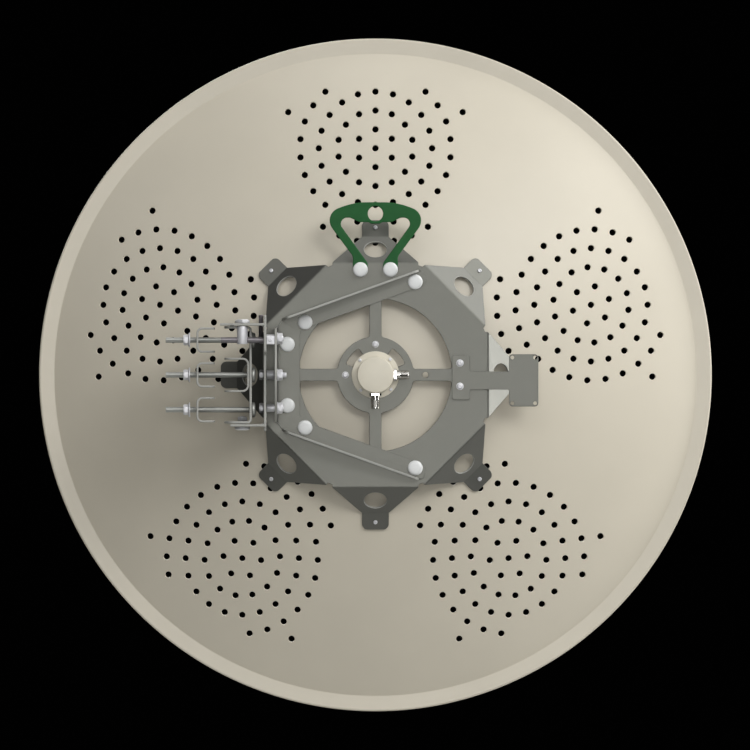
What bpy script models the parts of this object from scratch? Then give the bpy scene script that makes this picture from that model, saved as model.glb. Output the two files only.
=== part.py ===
"""Parabolic dish antenna, seen from behind in the photograph.

A pressed reflector is carried by an eight-legged back plate. A tilting bracket on the plate
turns on a yoke about a level axis, the yoke turns on a pole bracket about an upright axis, and
three toothed saddles with long bolts clamp that bracket to an upright pole.

Metres, +Z up. +Y is the way the dish looks, +X is to the right when it is seen from behind.
The origin is the middle of the face that the pole side of the clamp shows.
"""

import math

import bmesh
import bpy
from mathutils import Matrix, Vector
from mathutils.geometry import delaunay_2d_cdt, tessellate_polygon

# Gap that touching pieces keep, and the play of a bolt in its hole.
GAP = 0.0003

# The dish axis, and the back face of the plate that carries the reflector.
DISH_X = 0.180
PLATE_Y = 0.084
PLATE_THICK = 0.003

# Reflector: a paraboloid with a flat rim and a lip turned forward.
FOCAL = 0.324
APERTURE_R = 0.450
RIM_R = 0.4715
LIP_DEEP = 0.012
SHEET = 0.0022
VERTEX_Y = PLATE_Y + 0.0125
VERTEX_HOLE_R = 0.018
REFLECTOR_SIDES = 72
VERTEX_SIDES = 24

# Perforation: five fields of holes 9 mm wide, each field a hole with rings of holes round it,
# cut off by a radius of the dish and by an angle. The holes are hexagons of the same area.
HOLE_CORNER_R = 0.00495
HOLE_SIDES = 6
FIELD_R = 0.318
FIELD_STEP = 0.0265
FIELD_COUNTS = [1, 6, 14, 20, 26, 32]
FIELD_LAST_R = 0.4055
FIELD_HALF_ANGLE = 20.1

# Back plate: octagon, its big opening with four spokes, and eight bent legs.
OCTAGON_R = 0.1583
FOLD_HALF = 0.060
NOTCH_DEEP = 0.0045
OPENING_R = 0.1073
SPOKE_HALF = 0.0085
RING_R = 0.0538
RING_HOLE_R = 0.031
LOBE_R = 0.044
LEG_END_R = 0.194
FOOT_END_R = 0.2175
FOOT_BOLT_R = 0.2064
FOOT_HALF = 0.01875
LEG_HOLE_R = 0.0159
LEG_HOLE_AT = 0.1760
SPOKE_HOLE_R = 0.0042
SPOKE_HOLE_X = 0.070

# Tilting bracket: flat fan on the back plate, two ribs, and an upright plate at its left edge.
TILT_FOLD_X = -0.1382
TILT_HALF = 0.066
RIB_START = Vector((-0.1304, 0.0761))
RIB_END = Vector((0.0614, 0.1450))
RIB_TALL = 0.038
RIB_LOW = 0.010
ARM_WIDE = 0.0207
FAN_INNER_X = -0.1057
LOCK_TOP_R = 0.051
LOCK_BOTTOM_R = 0.0465
SLOT_HALF_ANGLE = math.radians(21)
SLOT_HALF = 0.0045
LOCK_BOLT_R = 0.0038

# Carriage bolts, as (x, z) from the dish axis: two hold the handle and six hold the bracket.
HANDLE_BOLTS = [(-0.0210, 0.1476), (0.0210, 0.1476)]
BRACKET_BOLTS = [
    (0.0558, 0.1304),
    (-0.0987, 0.0740),
    (-0.1235, 0.0430),
    (-0.1235, -0.0430),
    (-0.0987, -0.0740),
    (0.0558, -0.1304),
]
BOLT_R = 0.004
BOLT_HOLE_R = 0.0043
BOLT_HEAD_R = 0.0105

HANDLE_THICK = 0.005

# Feed: flange and round housing behind, tube and small reflector in front.
FEED_FLANGE_R = 0.0332
FEED_FLANGE_THICK = 0.004
HOUSING_R = 0.0256
HOUSING_LONG = 0.022
TUBE_R = 0.015
TUBE_TIP_Y = VERTEX_Y + 0.285
SUB_REFLECTOR_R = 0.045

# Radio bracket, as x from the dish axis.
RADIO_ARM_Z = (-0.0206, 0.0048)
RADIO_BASE_X = (0.1074, 0.1326)
RADIO_BASE_Z = (-0.0350, 0.0280)
RADIO_PLATE_X = (0.1873, 0.2285)
RADIO_PLATE_Z = (-0.0443, 0.0290)
RADIO_THICK = 0.003

# Pole clamp: the pole's axis, and the notches that bite it.
POLE_X = -0.040
POLE_R = 0.024
NOTCH_HALF_ANGLE = math.radians(60)
ROD_Y = 0.036
ROD_PITCH = 0.0488
ROD_LEFT_X = -0.114
ROD_HOLE_R = 0.0043
TIP_X = -0.0317
WEB_X = 0.0033
BRACKET_HALF_Z = 0.0683
BRACKET_HALF_Y = 0.050
BRACKET_THICK = 0.0035
FRONT_HALF_Z = 0.0242
SADDLE_THICK = 0.003
REAR_WEB_X = -0.071
REAR_TIP_X = -0.0449
REAR_HALF_Z = 0.0178
REAR_HALF_Y = 0.048
NUT_X = (-0.0892, -0.0798)

# Azimuth yoke: two level plates joined by an upright web, turning about an upright axis.
AZIMUTH_X = -0.0065
YOKE_THICK = 0.0035
YOKE_HALF_Z = 0.0725
YOKE_WEB_X = 0.0235
YOKE_TOP_TIP_X = -0.0379
YOKE_BOTTOM_TIP_X = -0.0233
YOKE_HALF_Y = 0.050
YOKE_EAR_Y = -0.073
EAR_X = -0.0205
EAR_LOW_Z = 0.030
YOKE_WEB_TOP = 0.084
YOKE_WEB_BOTTOM = -0.079
YOKE_WEB_HALF_Y = 0.030
ADJUSTER_Y = -0.064
ADJUSTER_Z = 0.0488
ADJUSTER_R = 0.0042
POST_R = 0.00745
SET_SCREW_X = 0.0195
SET_SCREW_Y = -0.012
SET_SCREW_R = 0.0033

FACETS = 12


def clear_scene():
    for obj in list(bpy.data.objects):
        bpy.data.objects.remove(obj)


def make_material(name, colour, roughness, metallic):
    material = bpy.data.materials.new(name)
    material.use_nodes = True
    shader = material.node_tree.nodes["Principled BSDF"]
    shader.inputs["Base Color"].default_value = (*colour, 1.0)
    shader.inputs["Roughness"].default_value = roughness
    shader.inputs["Metallic"].default_value = metallic
    return material


def make_frame(name, location, parent=None):
    """An empty that a moving group hangs on, with its origin on the group's axis."""
    frame = bpy.data.objects.new(name, None)
    frame.location = location
    frame.parent = parent
    bpy.context.scene.collection.objects.link(frame)
    return frame


def make_object(name, bm, material=None, parent=None):
    """Welds, faces outward and shades smooth a bmesh, and puts it in the scene."""
    bmesh.ops.remove_doubles(bm, verts=bm.verts, dist=1e-6)
    bmesh.ops.recalc_face_normals(bm, faces=bm.faces)
    mesh = bpy.data.meshes.new(name)
    bm.to_mesh(mesh)
    bm.free()
    mesh.shade_smooth()
    mesh.set_sharp_from_angle(angle=math.radians(35))
    obj = bpy.data.objects.new(name, mesh)
    obj.parent = parent
    if material:
        mesh.materials.append(material)
    bpy.context.scene.collection.objects.link(obj)
    return obj


def as_cutter(obj):
    obj.hide_render = True
    obj.display_type = "WIRE"
    return obj


def cut(target, *cutters):
    for cutter in cutters:
        modifier = target.modifiers.new("cut_" + cutter.name, "BOOLEAN")
        modifier.operation = "DIFFERENCE"
        modifier.object = as_cutter(cutter)


def arc(centre, radius, start, end, steps):
    """Points of an arc in the plane, from one angle to another, both ends included."""
    return [
        (
            centre[0] + radius * math.cos(start + (end - start) * i / steps),
            centre[1] + radius * math.sin(start + (end - start) * i / steps),
        )
        for i in range(steps + 1)
    ]


def circle(centre, radius, sides=FACETS):
    return arc(centre, radius, 0.0, math.tau * (1 - 1 / sides), sides - 1)


def rounded(corners, steps=4):
    """An outline from corners (u, v, radius), each replaced by an arc that meets both sides."""
    outline = []
    for i, (u, v, radius) in enumerate(corners):
        corner = Vector((u, v))
        if radius == 0:
            outline.append((u, v))
            continue
        before = (Vector(corners[i - 1][:2]) - corner).normalized()
        after = (Vector(corners[(i + 1) % len(corners)][:2]) - corner).normalized()
        half = before.angle(after) / 2
        centre = corner + (before + after).normalized() * radius / math.sin(half)
        first = corner + before * radius / math.tan(half) - centre
        last = corner + after * radius / math.tan(half) - centre
        turn = math.atan2(first.cross(last), first.dot(last))
        start = math.atan2(first.y, first.x)
        outline += arc(centre, radius, start, start + turn, steps)
    return outline


def mirrored(points):
    """Points of one half of an outline, followed by their mirror images about the v axis."""
    return points + [(-point[0], *point[1:]) for point in reversed(points)]


def in_plane(plane, u, v, w):
    """A point from the two coordinates in a plane and the third one across it."""
    return {"XY": (u, v, w), "XZ": (u, w, v), "YZ": (w, u, v)}[plane]


def add_prism(bm, plane, outline, low, high, holes=()):
    """A plate of any outline: flat in a plane, and from low to high across it."""
    loops = [outline, *holes]
    flat = [Vector((u, v, 0)) for loop in loops for u, v in loop]
    levels = [[bm.verts.new(in_plane(plane, p.x, p.y, w)) for p in flat] for w in (low, high)]
    for corners in tessellate_polygon([[Vector((u, v, 0)) for u, v in loop] for loop in loops]):
        for level in levels:
            bm.faces.new([level[i] for i in corners])
    start = 0
    for loop in loops:
        for i in range(len(loop)):
            a, b = start + i, start + (i + 1) % len(loop)
            bm.faces.new((levels[0][a], levels[0][b], levels[1][b], levels[1][a]))
        start += len(loop)


def make_prism(name, plane, outline, low, high, holes=(), material=None, parent=None):
    bm = bmesh.new()
    add_prism(bm, plane, outline, low, high, holes)
    return make_object(name, bm, material, parent)


def box_outline(u_low, v_low, u_high, v_high):
    return [(u_low, v_low), (u_high, v_low), (u_high, v_high), (u_low, v_high)]


def make_sheet(name, panels, facing, thickness, material, parent):
    """Bent sheet metal: flat panels that share fold lines, thickened away from their seen side."""
    bm = bmesh.new()
    for loops in panels:
        points = [bm.verts.new(point) for loop in loops for point in loop]
        for corners in tessellate_polygon([[Vector(p) for p in loop] for loop in loops]):
            bm.faces.new([points[i] for i in corners])
    bmesh.ops.remove_doubles(bm, verts=bm.verts, dist=1e-6)
    return make_thick(name, bm, facing, thickness, material, parent)


def make_thick(name, bm, facing, thickness, material, parent):
    """A sheet from its seen side, which faces a direction, thickened away from it."""
    bmesh.ops.recalc_face_normals(bm, faces=bm.faces)
    bm.faces.ensure_lookup_table()
    if bm.faces[0].normal.dot(facing) < 0:
        bmesh.ops.reverse_faces(bm, faces=bm.faces)
    mesh = bpy.data.meshes.new(name)
    bm.to_mesh(mesh)
    bm.free()
    mesh.materials.append(material)
    obj = bpy.data.objects.new(name, mesh)
    obj.parent = parent
    bpy.context.scene.collection.objects.link(obj)
    solid = obj.modifiers.new("thickness", "SOLIDIFY")
    solid.thickness = thickness
    solid.offset = -1
    solid.use_even_offset = True
    solid.use_quality_normals = True
    return obj


def ring_radius(shape, radius, angle):
    """Radius at an angle of a round, six-sided or square section, its flats at the radius given."""
    if shape == "round":
        return radius
    step, shift = {"hex": (60, 15), "square": (90, 45)}[shape]
    from_flat = math.radians((math.degrees(angle) + shift) % step - step / 2)
    return radius / math.cos(from_flat)


def add_stack(bm, axis, at, rings):
    """A bolt-like solid along an axis: rings (place, radius, shape) joined one after another."""
    turn = {
        "X": Matrix.Rotation(math.pi / 2, 4, "Y"),
        "Y": Matrix.Rotation(-math.pi / 2, 4, "X"),
        "Z": Matrix.Identity(4),
    }[axis]
    made = []
    for place, radius, shape in rings:
        ring = []
        for i in range(FACETS):
            angle = math.tau * (i + 0.5) / FACETS
            r = ring_radius(shape, radius, angle)
            point = turn @ Vector((r * math.cos(angle), r * math.sin(angle), place))
            ring.append(bm.verts.new(point + Vector(at)))
        made.append(ring)
    bm.faces.new(made[0])
    bm.faces.new(made[-1])
    for lower, upper in zip(made, made[1:]):
        for i in range(FACETS):
            j = (i + 1) % FACETS
            bm.faces.new((lower[i], lower[j], upper[j], upper[i]))


def make_stack(name, axis, at, rings, material=None, parent=None):
    bm = bmesh.new()
    add_stack(bm, axis, at, rings)
    return make_object(name, bm, material, parent)


def make_rods(name, axis, spots, radius, low, high, parent=None):
    """Round cutters along an axis, through each of the spots (u, v) across it."""
    bm = bmesh.new()
    for u, v in spots:
        at = {"X": (0, u, v), "Y": (u, 0, v), "Z": (u, v, 0)}[axis]
        add_stack(bm, axis, at, [(low, radius, "round"), (high, radius, "round")])
    return make_object(name, bm, parent=parent)


def domed_head(seat, outward, radius=BOLT_HEAD_R, high=0.0052):
    """Rings of a mushroom head, from its crown down to its seat."""
    levels = [(1.0, 0.25), (0.86, 0.6), (0.55, 0.87), (0.2, 1.0), (0.0, 0.97)]
    return [(seat + outward * high * up, radius * wide, "round") for up, wide in levels]


def reflector_back(radius):
    return VERTEX_Y + radius**2 / (4 * FOCAL)


def field_holes():
    """Centres of the perforation's holes, from the dish axis."""
    centres = []
    for field in range(5):
        turn = math.radians(90 + 72 * field)
        middle = Vector((FIELD_R * math.cos(turn), FIELD_R * math.sin(turn)))
        for ring, count in enumerate(FIELD_COUNTS):
            for i in range(count):
                angle = turn + math.tau * i / count
                radius = ring * FIELD_STEP
                spot = middle + Vector((radius * math.cos(angle), radius * math.sin(angle)))
                off = math.degrees(math.atan2(spot.y, spot.x) - turn + math.pi) % 360 - 180
                if spot.length < FIELD_LAST_R and abs(off) < FIELD_HALF_ANGLE:
                    centres.append(spot)
    return centres


def plain_points(centres):
    """Points that keep the bowl round where it has no holes. One ring runs under the feet."""
    rings = {0.050: 12, 0.095: 16, 0.150: 24, FOOT_BOLT_R: 32, 0.260: 40, 0.315: 40, 0.370: 40}
    spots = [Vector(spot) for radius, count in rings.items() for spot in circle((0, 0), radius, count)]
    return [spot for spot in spots if min((spot - centre).length for centre in centres) > 0.016]


def sieve_triangles():
    """The flat sieve: its points, the edge of the aperture first, and its triangles."""
    centres = field_holes()
    loops = [circle((0, 0), APERTURE_R, REFLECTOR_SIDES), circle((0, 0), VERTEX_HOLE_R, VERTEX_SIDES)]
    loops += [circle(centre, HOLE_CORNER_R, HOLE_SIDES) for centre in centres]
    points, owner, edges = [], [], []
    for number, loop in enumerate(loops):
        first = len(points)
        points += [Vector(point) for point in loop]
        owner += [number] * len(loop)
        edges += [(first + i, first + (i + 1) % len(loop)) for i in range(len(loop))]
    plain = plain_points(centres)
    points += plain
    owner += range(-len(plain), 0)
    _, _, faces, origins, _, _ = delaunay_2d_cdt(points, edges, [], 0, 1e-7)
    triangles = [[origins[i][0] for i in face] for face in faces]
    return points, [t for t in triangles if len({owner[i] for i in t}) > 1 or owner[t[0]] == 0]


def make_reflector(material, parent):
    """The sieve is pressed to a paraboloid, gets its rim and lip, and is thickened forward."""
    flat, triangles = sieve_triangles()
    bm = bmesh.new()
    points = [bm.verts.new((p.x, reflector_back(p.length), p.y)) for p in flat]
    for corners in triangles:
        bm.faces.new([points[i] for i in corners])
    rim_y = reflector_back(APERTURE_R)
    inner = points[:REFLECTOR_SIDES]
    for radius, y in [
        (RIM_R - 0.0015, rim_y),
        (RIM_R, rim_y + 0.0015),
        (RIM_R, rim_y + LIP_DEEP),
    ]:
        ring = circle((0, 0), radius, REFLECTOR_SIDES)
        outer = [bm.verts.new((x, y, z)) for x, z in ring]
        for i in range(REFLECTOR_SIDES):
            j = (i + 1) % REFLECTOR_SIDES
            bm.faces.new((inner[i], inner[j], outer[j], outer[i]))
        inner = outer
    return make_thick("reflector", bm, Vector((0, -1, 0)), SHEET, material, parent)


def quadrant_opening(quarter):
    """One of the four openings between the spokes, with its corners rounded."""
    outer = math.asin(SPOKE_HALF / OPENING_R)
    inner = math.asin(SPOKE_HALF / RING_R)
    start = quarter * math.pi / 2
    far = arc((0, 0), OPENING_R, start + outer, start + math.pi / 2 - outer, 10)
    near = arc((0, 0), RING_R, start + math.pi / 2 - inner, start + inner, 6)
    return far + near


def ring_hole():
    """The hole under the feed flange, with a wider lobe on each side above the middle."""
    lobes = [(math.radians(20), math.radians(58)), (math.radians(122), math.radians(160))]
    outline = []
    angle = 0.0
    for low, high in lobes:
        outline += arc((0, 0), RING_HOLE_R, angle, low, 3)
        outline += arc((0, 0), LOBE_R, low + math.radians(3), high - math.radians(3), 4)
        angle = high
    outline += arc((0, 0), RING_HOLE_R, angle, math.tau, 12)[:-1]
    return outline


def octagon_outline():
    """The back plate's edge: a fold line on each side, and a small notch at each corner."""
    outline = []
    for side in range(8):
        turn = Matrix.Rotation(side * math.pi / 4, 2)
        ends = [turn @ Vector((OCTAGON_R, -FOLD_HALF)), turn @ Vector((OCTAGON_R, FOLD_HALF))]
        notch = turn @ Vector((OCTAGON_R - NOTCH_DEEP, FOLD_HALF + 0.0005))
        facing_notch = Matrix.Rotation(math.pi / 4, 2) @ turn
        notch_end = facing_notch @ Vector((OCTAGON_R - NOTCH_DEEP, -FOLD_HALF - 0.0005))
        outline += [tuple(point) for point in (*ends, notch, notch_end)]
    return outline


def leg_panels(side):
    """A slanted leg with a round hole punched square to it, and the foot on the reflector."""
    slope = FOOT_BOLT_R / (2 * FOCAL)
    lift = (PLATE_THICK + GAP) * math.hypot(1, slope)
    foot_y = reflector_back(FOOT_BOLT_R) - lift
    bend_y = foot_y + slope * (LEG_END_R - FOOT_BOLT_R)
    rise = (bend_y - PLATE_Y) / (LEG_END_R - OCTAGON_R)

    def place(radius, across):
        if radius > LEG_END_R:
            y = foot_y + slope * (radius - FOOT_BOLT_R)
        else:
            y = PLATE_Y + rise * (radius - OCTAGON_R)
        flat = Matrix.Rotation(side * math.pi / 4, 2) @ Vector((radius, across))
        return (flat.x, y, flat.y)

    leg = [
        (OCTAGON_R, -FOLD_HALF),
        (LEG_END_R, -FOOT_HALF),
        (LEG_END_R, FOOT_HALF),
        (OCTAGON_R, FOLD_HALF),
    ]
    foot = rounded(
        [
            (LEG_END_R, -FOOT_HALF, 0),
            (FOOT_END_R, -FOOT_HALF, 0.009),
            (FOOT_END_R, FOOT_HALF, 0.009),
            (LEG_END_R, FOOT_HALF, 0),
        ]
    )
    lean = 1 / math.hypot(1, rise)
    hole = [(LEG_HOLE_AT + u * lean, v) for u, v in circle((0, 0), LEG_HOLE_R, 16)]
    return [
        [[place(*p) for p in leg], [place(*p) for p in hole]],
        [[place(*p) for p in foot]],
    ]


def make_back_plate(material, parent):
    holes = [quadrant_opening(quarter) for quarter in range(4)]
    holes.append(ring_hole())
    holes.append(circle((SPOKE_HOLE_X, 0), SPOKE_HOLE_R, 8))
    holes += [circle(spot, BOLT_HOLE_R, 8) for spot in HANDLE_BOLTS + BRACKET_BOLTS]
    flat = [[(x, PLATE_Y, z) for x, z in loop] for loop in [octagon_outline(), *holes]]
    panels = [flat]
    for side in range(8):
        panels += leg_panels(side)
    return make_sheet("back_plate", panels, Vector((0, -1, 0)), PLATE_THICK, material, parent)


def fan_outline():
    """Half of the fan from its fold to its middle, mirrored to the other half."""
    along = (RIB_END - RIB_START).normalized()
    across = Vector((along.y, -along.x))
    tip = RIB_END + along * 0.005
    inner_tip = tip + across * ARM_WIDE
    start = RIB_START + across * ARM_WIDE
    inner_z = start.y + (FAN_INNER_X - start.x) * along.y / along.x
    upper = [
        (TILT_FOLD_X, TILT_HALF, 0),
        (*RIB_START, 0),
        (*RIB_END, 0),
        (*tip, 0.002),
        (*inner_tip, 0.009),
        (FAN_INNER_X, inner_z, 0.010),
    ]
    lower = [(x, -z, radius) for x, z, radius in reversed(upper)]
    return rounded(upper + lower)


def rib_panel(sign, face_y):
    """A stiffening rib bent up along the fan's slanted edge, lower towards its far end."""
    along = (RIB_END - RIB_START).normalized()
    tall_end = RIB_START + along * 0.006
    low_end = RIB_END - along * 0.004
    corners = [
        (*RIB_START, 0),
        (*RIB_END, 0),
        (*low_end, RIB_LOW),
        (*tall_end, RIB_TALL),
    ]
    return [(x, face_y - height, sign * z) for x, z, height in corners]


def lock_slot(radius, middle):
    """An arc-shaped slot about the tilt axis, as points (y, z)."""
    low, high = middle - SLOT_HALF_ANGLE, middle + SLOT_HALF_ANGLE
    ends = [(radius * math.cos(angle), radius * math.sin(angle)) for angle in (low, high)]
    outline = arc((0, 0), radius + SLOT_HALF, low, high, 8)
    outline += arc(ends[1], SLOT_HALF, high, high + math.pi, 4)[1:-1]
    outline += arc((0, 0), radius - SLOT_HALF, high, low, 8)
    outline += arc(ends[0], SLOT_HALF, low + math.pi, low + math.tau, 4)[1:-1]
    return outline


def make_tilt_bracket(material, parent):
    face_y = PLATE_Y - GAP - PLATE_THICK
    fan_holes = [circle(spot, BOLT_HOLE_R, 8) for spot in BRACKET_BOLTS]
    fan = [[(x, face_y, z) for x, z in loop] for loop in [fan_outline(), *fan_holes]]
    plate_outline = [(face_y, -TILT_HALF), (face_y, TILT_HALF)]
    plate_outline += arc((0, 0), TILT_HALF, math.pi / 2, 3 * math.pi / 2, 20)
    plate_holes = [
        circle((0, 0), BOLT_HOLE_R),
        lock_slot(LOCK_TOP_R, math.pi / 2),
        lock_slot(LOCK_BOTTOM_R, -math.pi / 2),
    ]
    plate = [[(TILT_FOLD_X, y, z) for y, z in loop] for loop in [plate_outline, *plate_holes]]
    panels = [fan, plate, [rib_panel(1, face_y)], [rib_panel(-1, face_y)]]
    return make_sheet("tilt_bracket", panels, Vector((0, -1, 0)), PLATE_THICK, material, parent)


def handle_outline():
    right = [
        (0.0300, 0.2421, 0.100),
        (0.0750, 0.2250, 0.0183),
        (0.0315, 0.1663, 0.012),
        (0.0315, 0.1373, 0.0102),
        (0.0107, 0.1373, 0.0102),
        (0.0107, 0.1570, 0.012),
        (0.0566, 0.2204, 0.0086),
        (0.0320, 0.2204, 0.003),
        (0.0275, 0.2140, 0.003),
    ]
    return rounded(mirrored(right))


def make_handle(material, parent):
    holes = [circle(spot, BOLT_HOLE_R, 8) for spot in HANDLE_BOLTS]
    holes.append(circle((0, 0.226), 0.0107, 20))
    high = PLATE_Y - GAP
    outline = handle_outline()
    return make_prism("handle", "XZ", outline, high - HANDLE_THICK, high, holes, material, parent)


def make_carriage_bolts(material, parent):
    """Mushroom heads behind, round shanks through the sheets, and hexagonal nuts in front."""
    front = PLATE_Y + PLATE_THICK
    seats = [PLATE_Y - GAP - HANDLE_THICK] * 2 + [PLATE_Y - GAP - PLATE_THICK] * 6
    names = [f"handle_bolt_{side}" for side in ("left", "right")]
    names += [f"bracket_bolt_{number}" for number in range(1, 7)]
    for name, seat, (x, z) in zip(names, seats, HANDLE_BOLTS + BRACKET_BOLTS):
        rings = domed_head(seat - GAP, -1)
        rings += [
            (seat - GAP, BOLT_R, "round"),
            (front + GAP, BOLT_R, "round"),
            (front + GAP, 0.0065, "hex"),
            (front + 0.0065, 0.0065, "hex"),
        ]
        make_stack(name, "Y", (x, 0, z), rings, material, parent)


def make_feed(paint, plastic, metal, parent):
    flange_y = PLATE_Y - GAP - FEED_FLANGE_THICK
    make_prism("feed_flange", "XZ", circle((0, 0), FEED_FLANGE_R, 32), flange_y, PLATE_Y - GAP,
               material=paint, parent=parent)
    housing_high = flange_y - GAP
    housing_low = housing_high - HOUSING_LONG
    bm = bmesh.new()
    add_prism(bm, "XZ", circle((0, 0), HOUSING_R, 32), housing_low, housing_high)
    make_object("feed_housing", bm, paint, parent)
    make_prism("feed_tube", "XZ", circle((0, 0), TUBE_R, 20), PLATE_Y, TUBE_TIP_Y,
               material=metal, parent=parent)
    cone = [
        (TUBE_TIP_Y + GAP, TUBE_R, "round"),
        (TUBE_TIP_Y + 0.022, 0.036, "round"),
        (TUBE_TIP_Y + 0.024, 0.036, "round"),
    ]
    make_stack("feed_cone", "Y", (0, 0, 0), cone, plastic, parent)
    dish_y = TUBE_TIP_Y + 0.024 + GAP
    make_prism("sub_reflector", "XZ", circle((0, 0), SUB_REFLECTOR_R, 32), dish_y, dish_y + 0.004,
               material=metal, parent=parent)


def make_connectors(material, parent):
    """Two coaxial connectors on the housing's wall, one to the right and one downwards."""
    wall = HOUSING_R + GAP
    y = PLATE_Y - 0.0157
    body = [
        (wall, 0.00875, "square"),
        (wall + 0.0035, 0.00875, "square"),
        (wall + 0.0035, 0.0062, "round"),
        (wall + 0.0080, 0.0062, "round"),
        (wall + 0.0080, 0.0056, "round"),
        (wall + 0.0105, 0.0056, "round"),
        (wall + 0.0105, 0.0062, "round"),
        (0.0469, 0.0062, "round"),
    ]
    make_stack("connector_right", "X", (0, y, 0), body, material, parent)
    downward = [(-place, radius, shape) for place, radius, shape in reversed(body)]
    make_stack("connector_bottom", "Z", (0, y, 0), downward, material, parent)


def make_radio_bracket(material, parent):
    (base_low, base_high), (plate_low, plate_high) = RADIO_BASE_X, RADIO_PLATE_X
    arm_low, arm_high = RADIO_ARM_Z
    outline = rounded(
        [
            (base_low, RADIO_BASE_Z[0], 0.003),
            (base_high, RADIO_BASE_Z[0], 0.003),
            (base_high, arm_low, 0.002),
            (plate_low, arm_low, 0.002),
            (plate_low, RADIO_PLATE_Z[0], 0.005),
            (plate_high, RADIO_PLATE_Z[0], 0.005),
            (plate_high, RADIO_PLATE_Z[1], 0.005),
            (plate_low, RADIO_PLATE_Z[1], 0.005),
            (plate_low, arm_high, 0.002),
            (base_high, arm_high, 0.002),
            (base_high, RADIO_BASE_Z[1], 0.003),
            (base_low, RADIO_BASE_Z[1], 0.003),
        ]
    )
    inset = 0.0046
    holes = [
        circle((x, z), 0.0027, 8)
        for x in (plate_low + inset, plate_high - inset)
        for z in (RADIO_PLATE_Z[0] + inset, RADIO_PLATE_Z[1] - inset)
    ]
    low = PLATE_Y - GAP - RADIO_THICK
    make_prism("radio_bracket", "XZ", outline, low, PLATE_Y - GAP, holes, material, parent)


def channel_outline(web_x, tip_x, half_z, thick, bend):
    """Section of a bent channel whose back is at web_x and whose arms end at tip_x."""
    inward = 1 if tip_x > web_x else -1
    inner_x = web_x + inward * thick
    return rounded(
        [
            (tip_x, half_z, 0),
            (web_x, half_z, bend),
            (web_x, -half_z, bend),
            (tip_x, -half_z, 0),
            (tip_x, thick - half_z, 0),
            (inner_x, thick - half_z, bend - thick),
            (inner_x, half_z - thick, bend - thick),
            (tip_x, half_z - thick, 0),
        ]
    )


def notch_cutter(name, opens, floor_x):
    """A wide V that bites the pole: it opens to one side and has a narrow floor at the other."""
    apex_x = POLE_X - opens * POLE_R / math.sin(NOTCH_HALF_ANGLE)
    slope = math.tan(NOTCH_HALF_ANGLE)
    mouth_x = POLE_X + opens * 0.010
    floor_half = abs(floor_x - apex_x) * slope
    mouth_half = abs(mouth_x - apex_x) * slope
    outline = [
        (floor_x, -floor_half),
        (mouth_x, -mouth_half),
        (mouth_x, mouth_half),
        (floor_x, floor_half),
    ]
    return make_prism(name, "XY", outline, -0.1, 0.1)


def rod_spots(levels):
    return [(side * ROD_Y, level * ROD_PITCH) for side in (-1, 1) for level in levels]


def make_pole_bracket(material):
    outline = channel_outline(WEB_X + BRACKET_THICK, TIP_X, BRACKET_HALF_Z, BRACKET_THICK, 0.006)
    bracket = make_prism("pole_bracket", "XZ", outline, -BRACKET_HALF_Y, BRACKET_HALF_Y,
                         material=material)
    cut(
        bracket,
        notch_cutter("bracket_notch", -1, POLE_X + POLE_R + GAP),
        make_rods("bracket_rod_holes", "X", rod_spots((-1, 0, 1)), ROD_HOLE_R, 0, 0.02),
        make_rods("bracket_pivot_holes", "Z", [(AZIMUTH_X, 0)], BOLT_HOLE_R, -0.1, 0.1),
    )


def make_front_saddle(material):
    outline = channel_outline(SADDLE_THICK, TIP_X, FRONT_HALF_Z, SADDLE_THICK, 0.009)
    saddle = make_prism("front_saddle", "XZ", outline, -BRACKET_HALF_Y, BRACKET_HALF_Y,
                        material=material)
    cut(
        saddle,
        notch_cutter("front_notch", -1, POLE_X + POLE_R + GAP),
        make_rods("front_rod_holes", "X", rod_spots((0,)), ROD_HOLE_R, -0.01, 0.02),
    )


def make_rear_saddles(material):
    names = {1: "rear_saddle_top", 0: "rear_saddle_middle", -1: "rear_saddle_bottom"}
    notch = notch_cutter("rear_notch", 1, REAR_WEB_X + SADDLE_THICK + GAP)
    for level, name in names.items():
        outline = channel_outline(REAR_WEB_X, REAR_TIP_X, REAR_HALF_Z, SADDLE_THICK, 0.008)
        outline = [(x, z + level * ROD_PITCH) for x, z in outline]
        saddle = make_prism(name, "XZ", outline, -REAR_HALF_Y, REAR_HALF_Y, material=material)
        holes = make_rods(name + "_holes", "X", rod_spots((level,)), ROD_HOLE_R, -0.08, -0.06)
        cut(saddle, notch, holes)


def make_clamp_bolts(material):
    """Long bolts through bracket and saddles, each with its flange nut at the far side."""
    seat = WEB_X + BRACKET_THICK + GAP
    thread_low, thread_high = NUT_X
    for side, side_name in ((-1, "back"), (1, "front")):
        for level, level_name in ((1, "top"), (0, "middle"), (-1, "bottom")):
            rings = [
                (ROD_LEFT_X, BOLT_R - 0.0008, "round"),
                (ROD_LEFT_X + 0.001, BOLT_R, "round"),
                (thread_low, BOLT_R, "round"),
                (thread_low, 0.0065, "hex"),
                (thread_high - 0.0018, 0.0065, "hex"),
                (thread_high - 0.0016, 0.0102, "round"),
                (thread_high, 0.0104, "round"),
                (thread_high, BOLT_R, "round"),
                (seat, BOLT_R, "round"),
            ]
            rings += reversed(domed_head(seat, 1))
            at = (0, side * ROD_Y, level * ROD_PITCH)
            make_stack(f"clamp_bolt_{side_name}_{level_name}", "X", at, rings, material)


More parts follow.
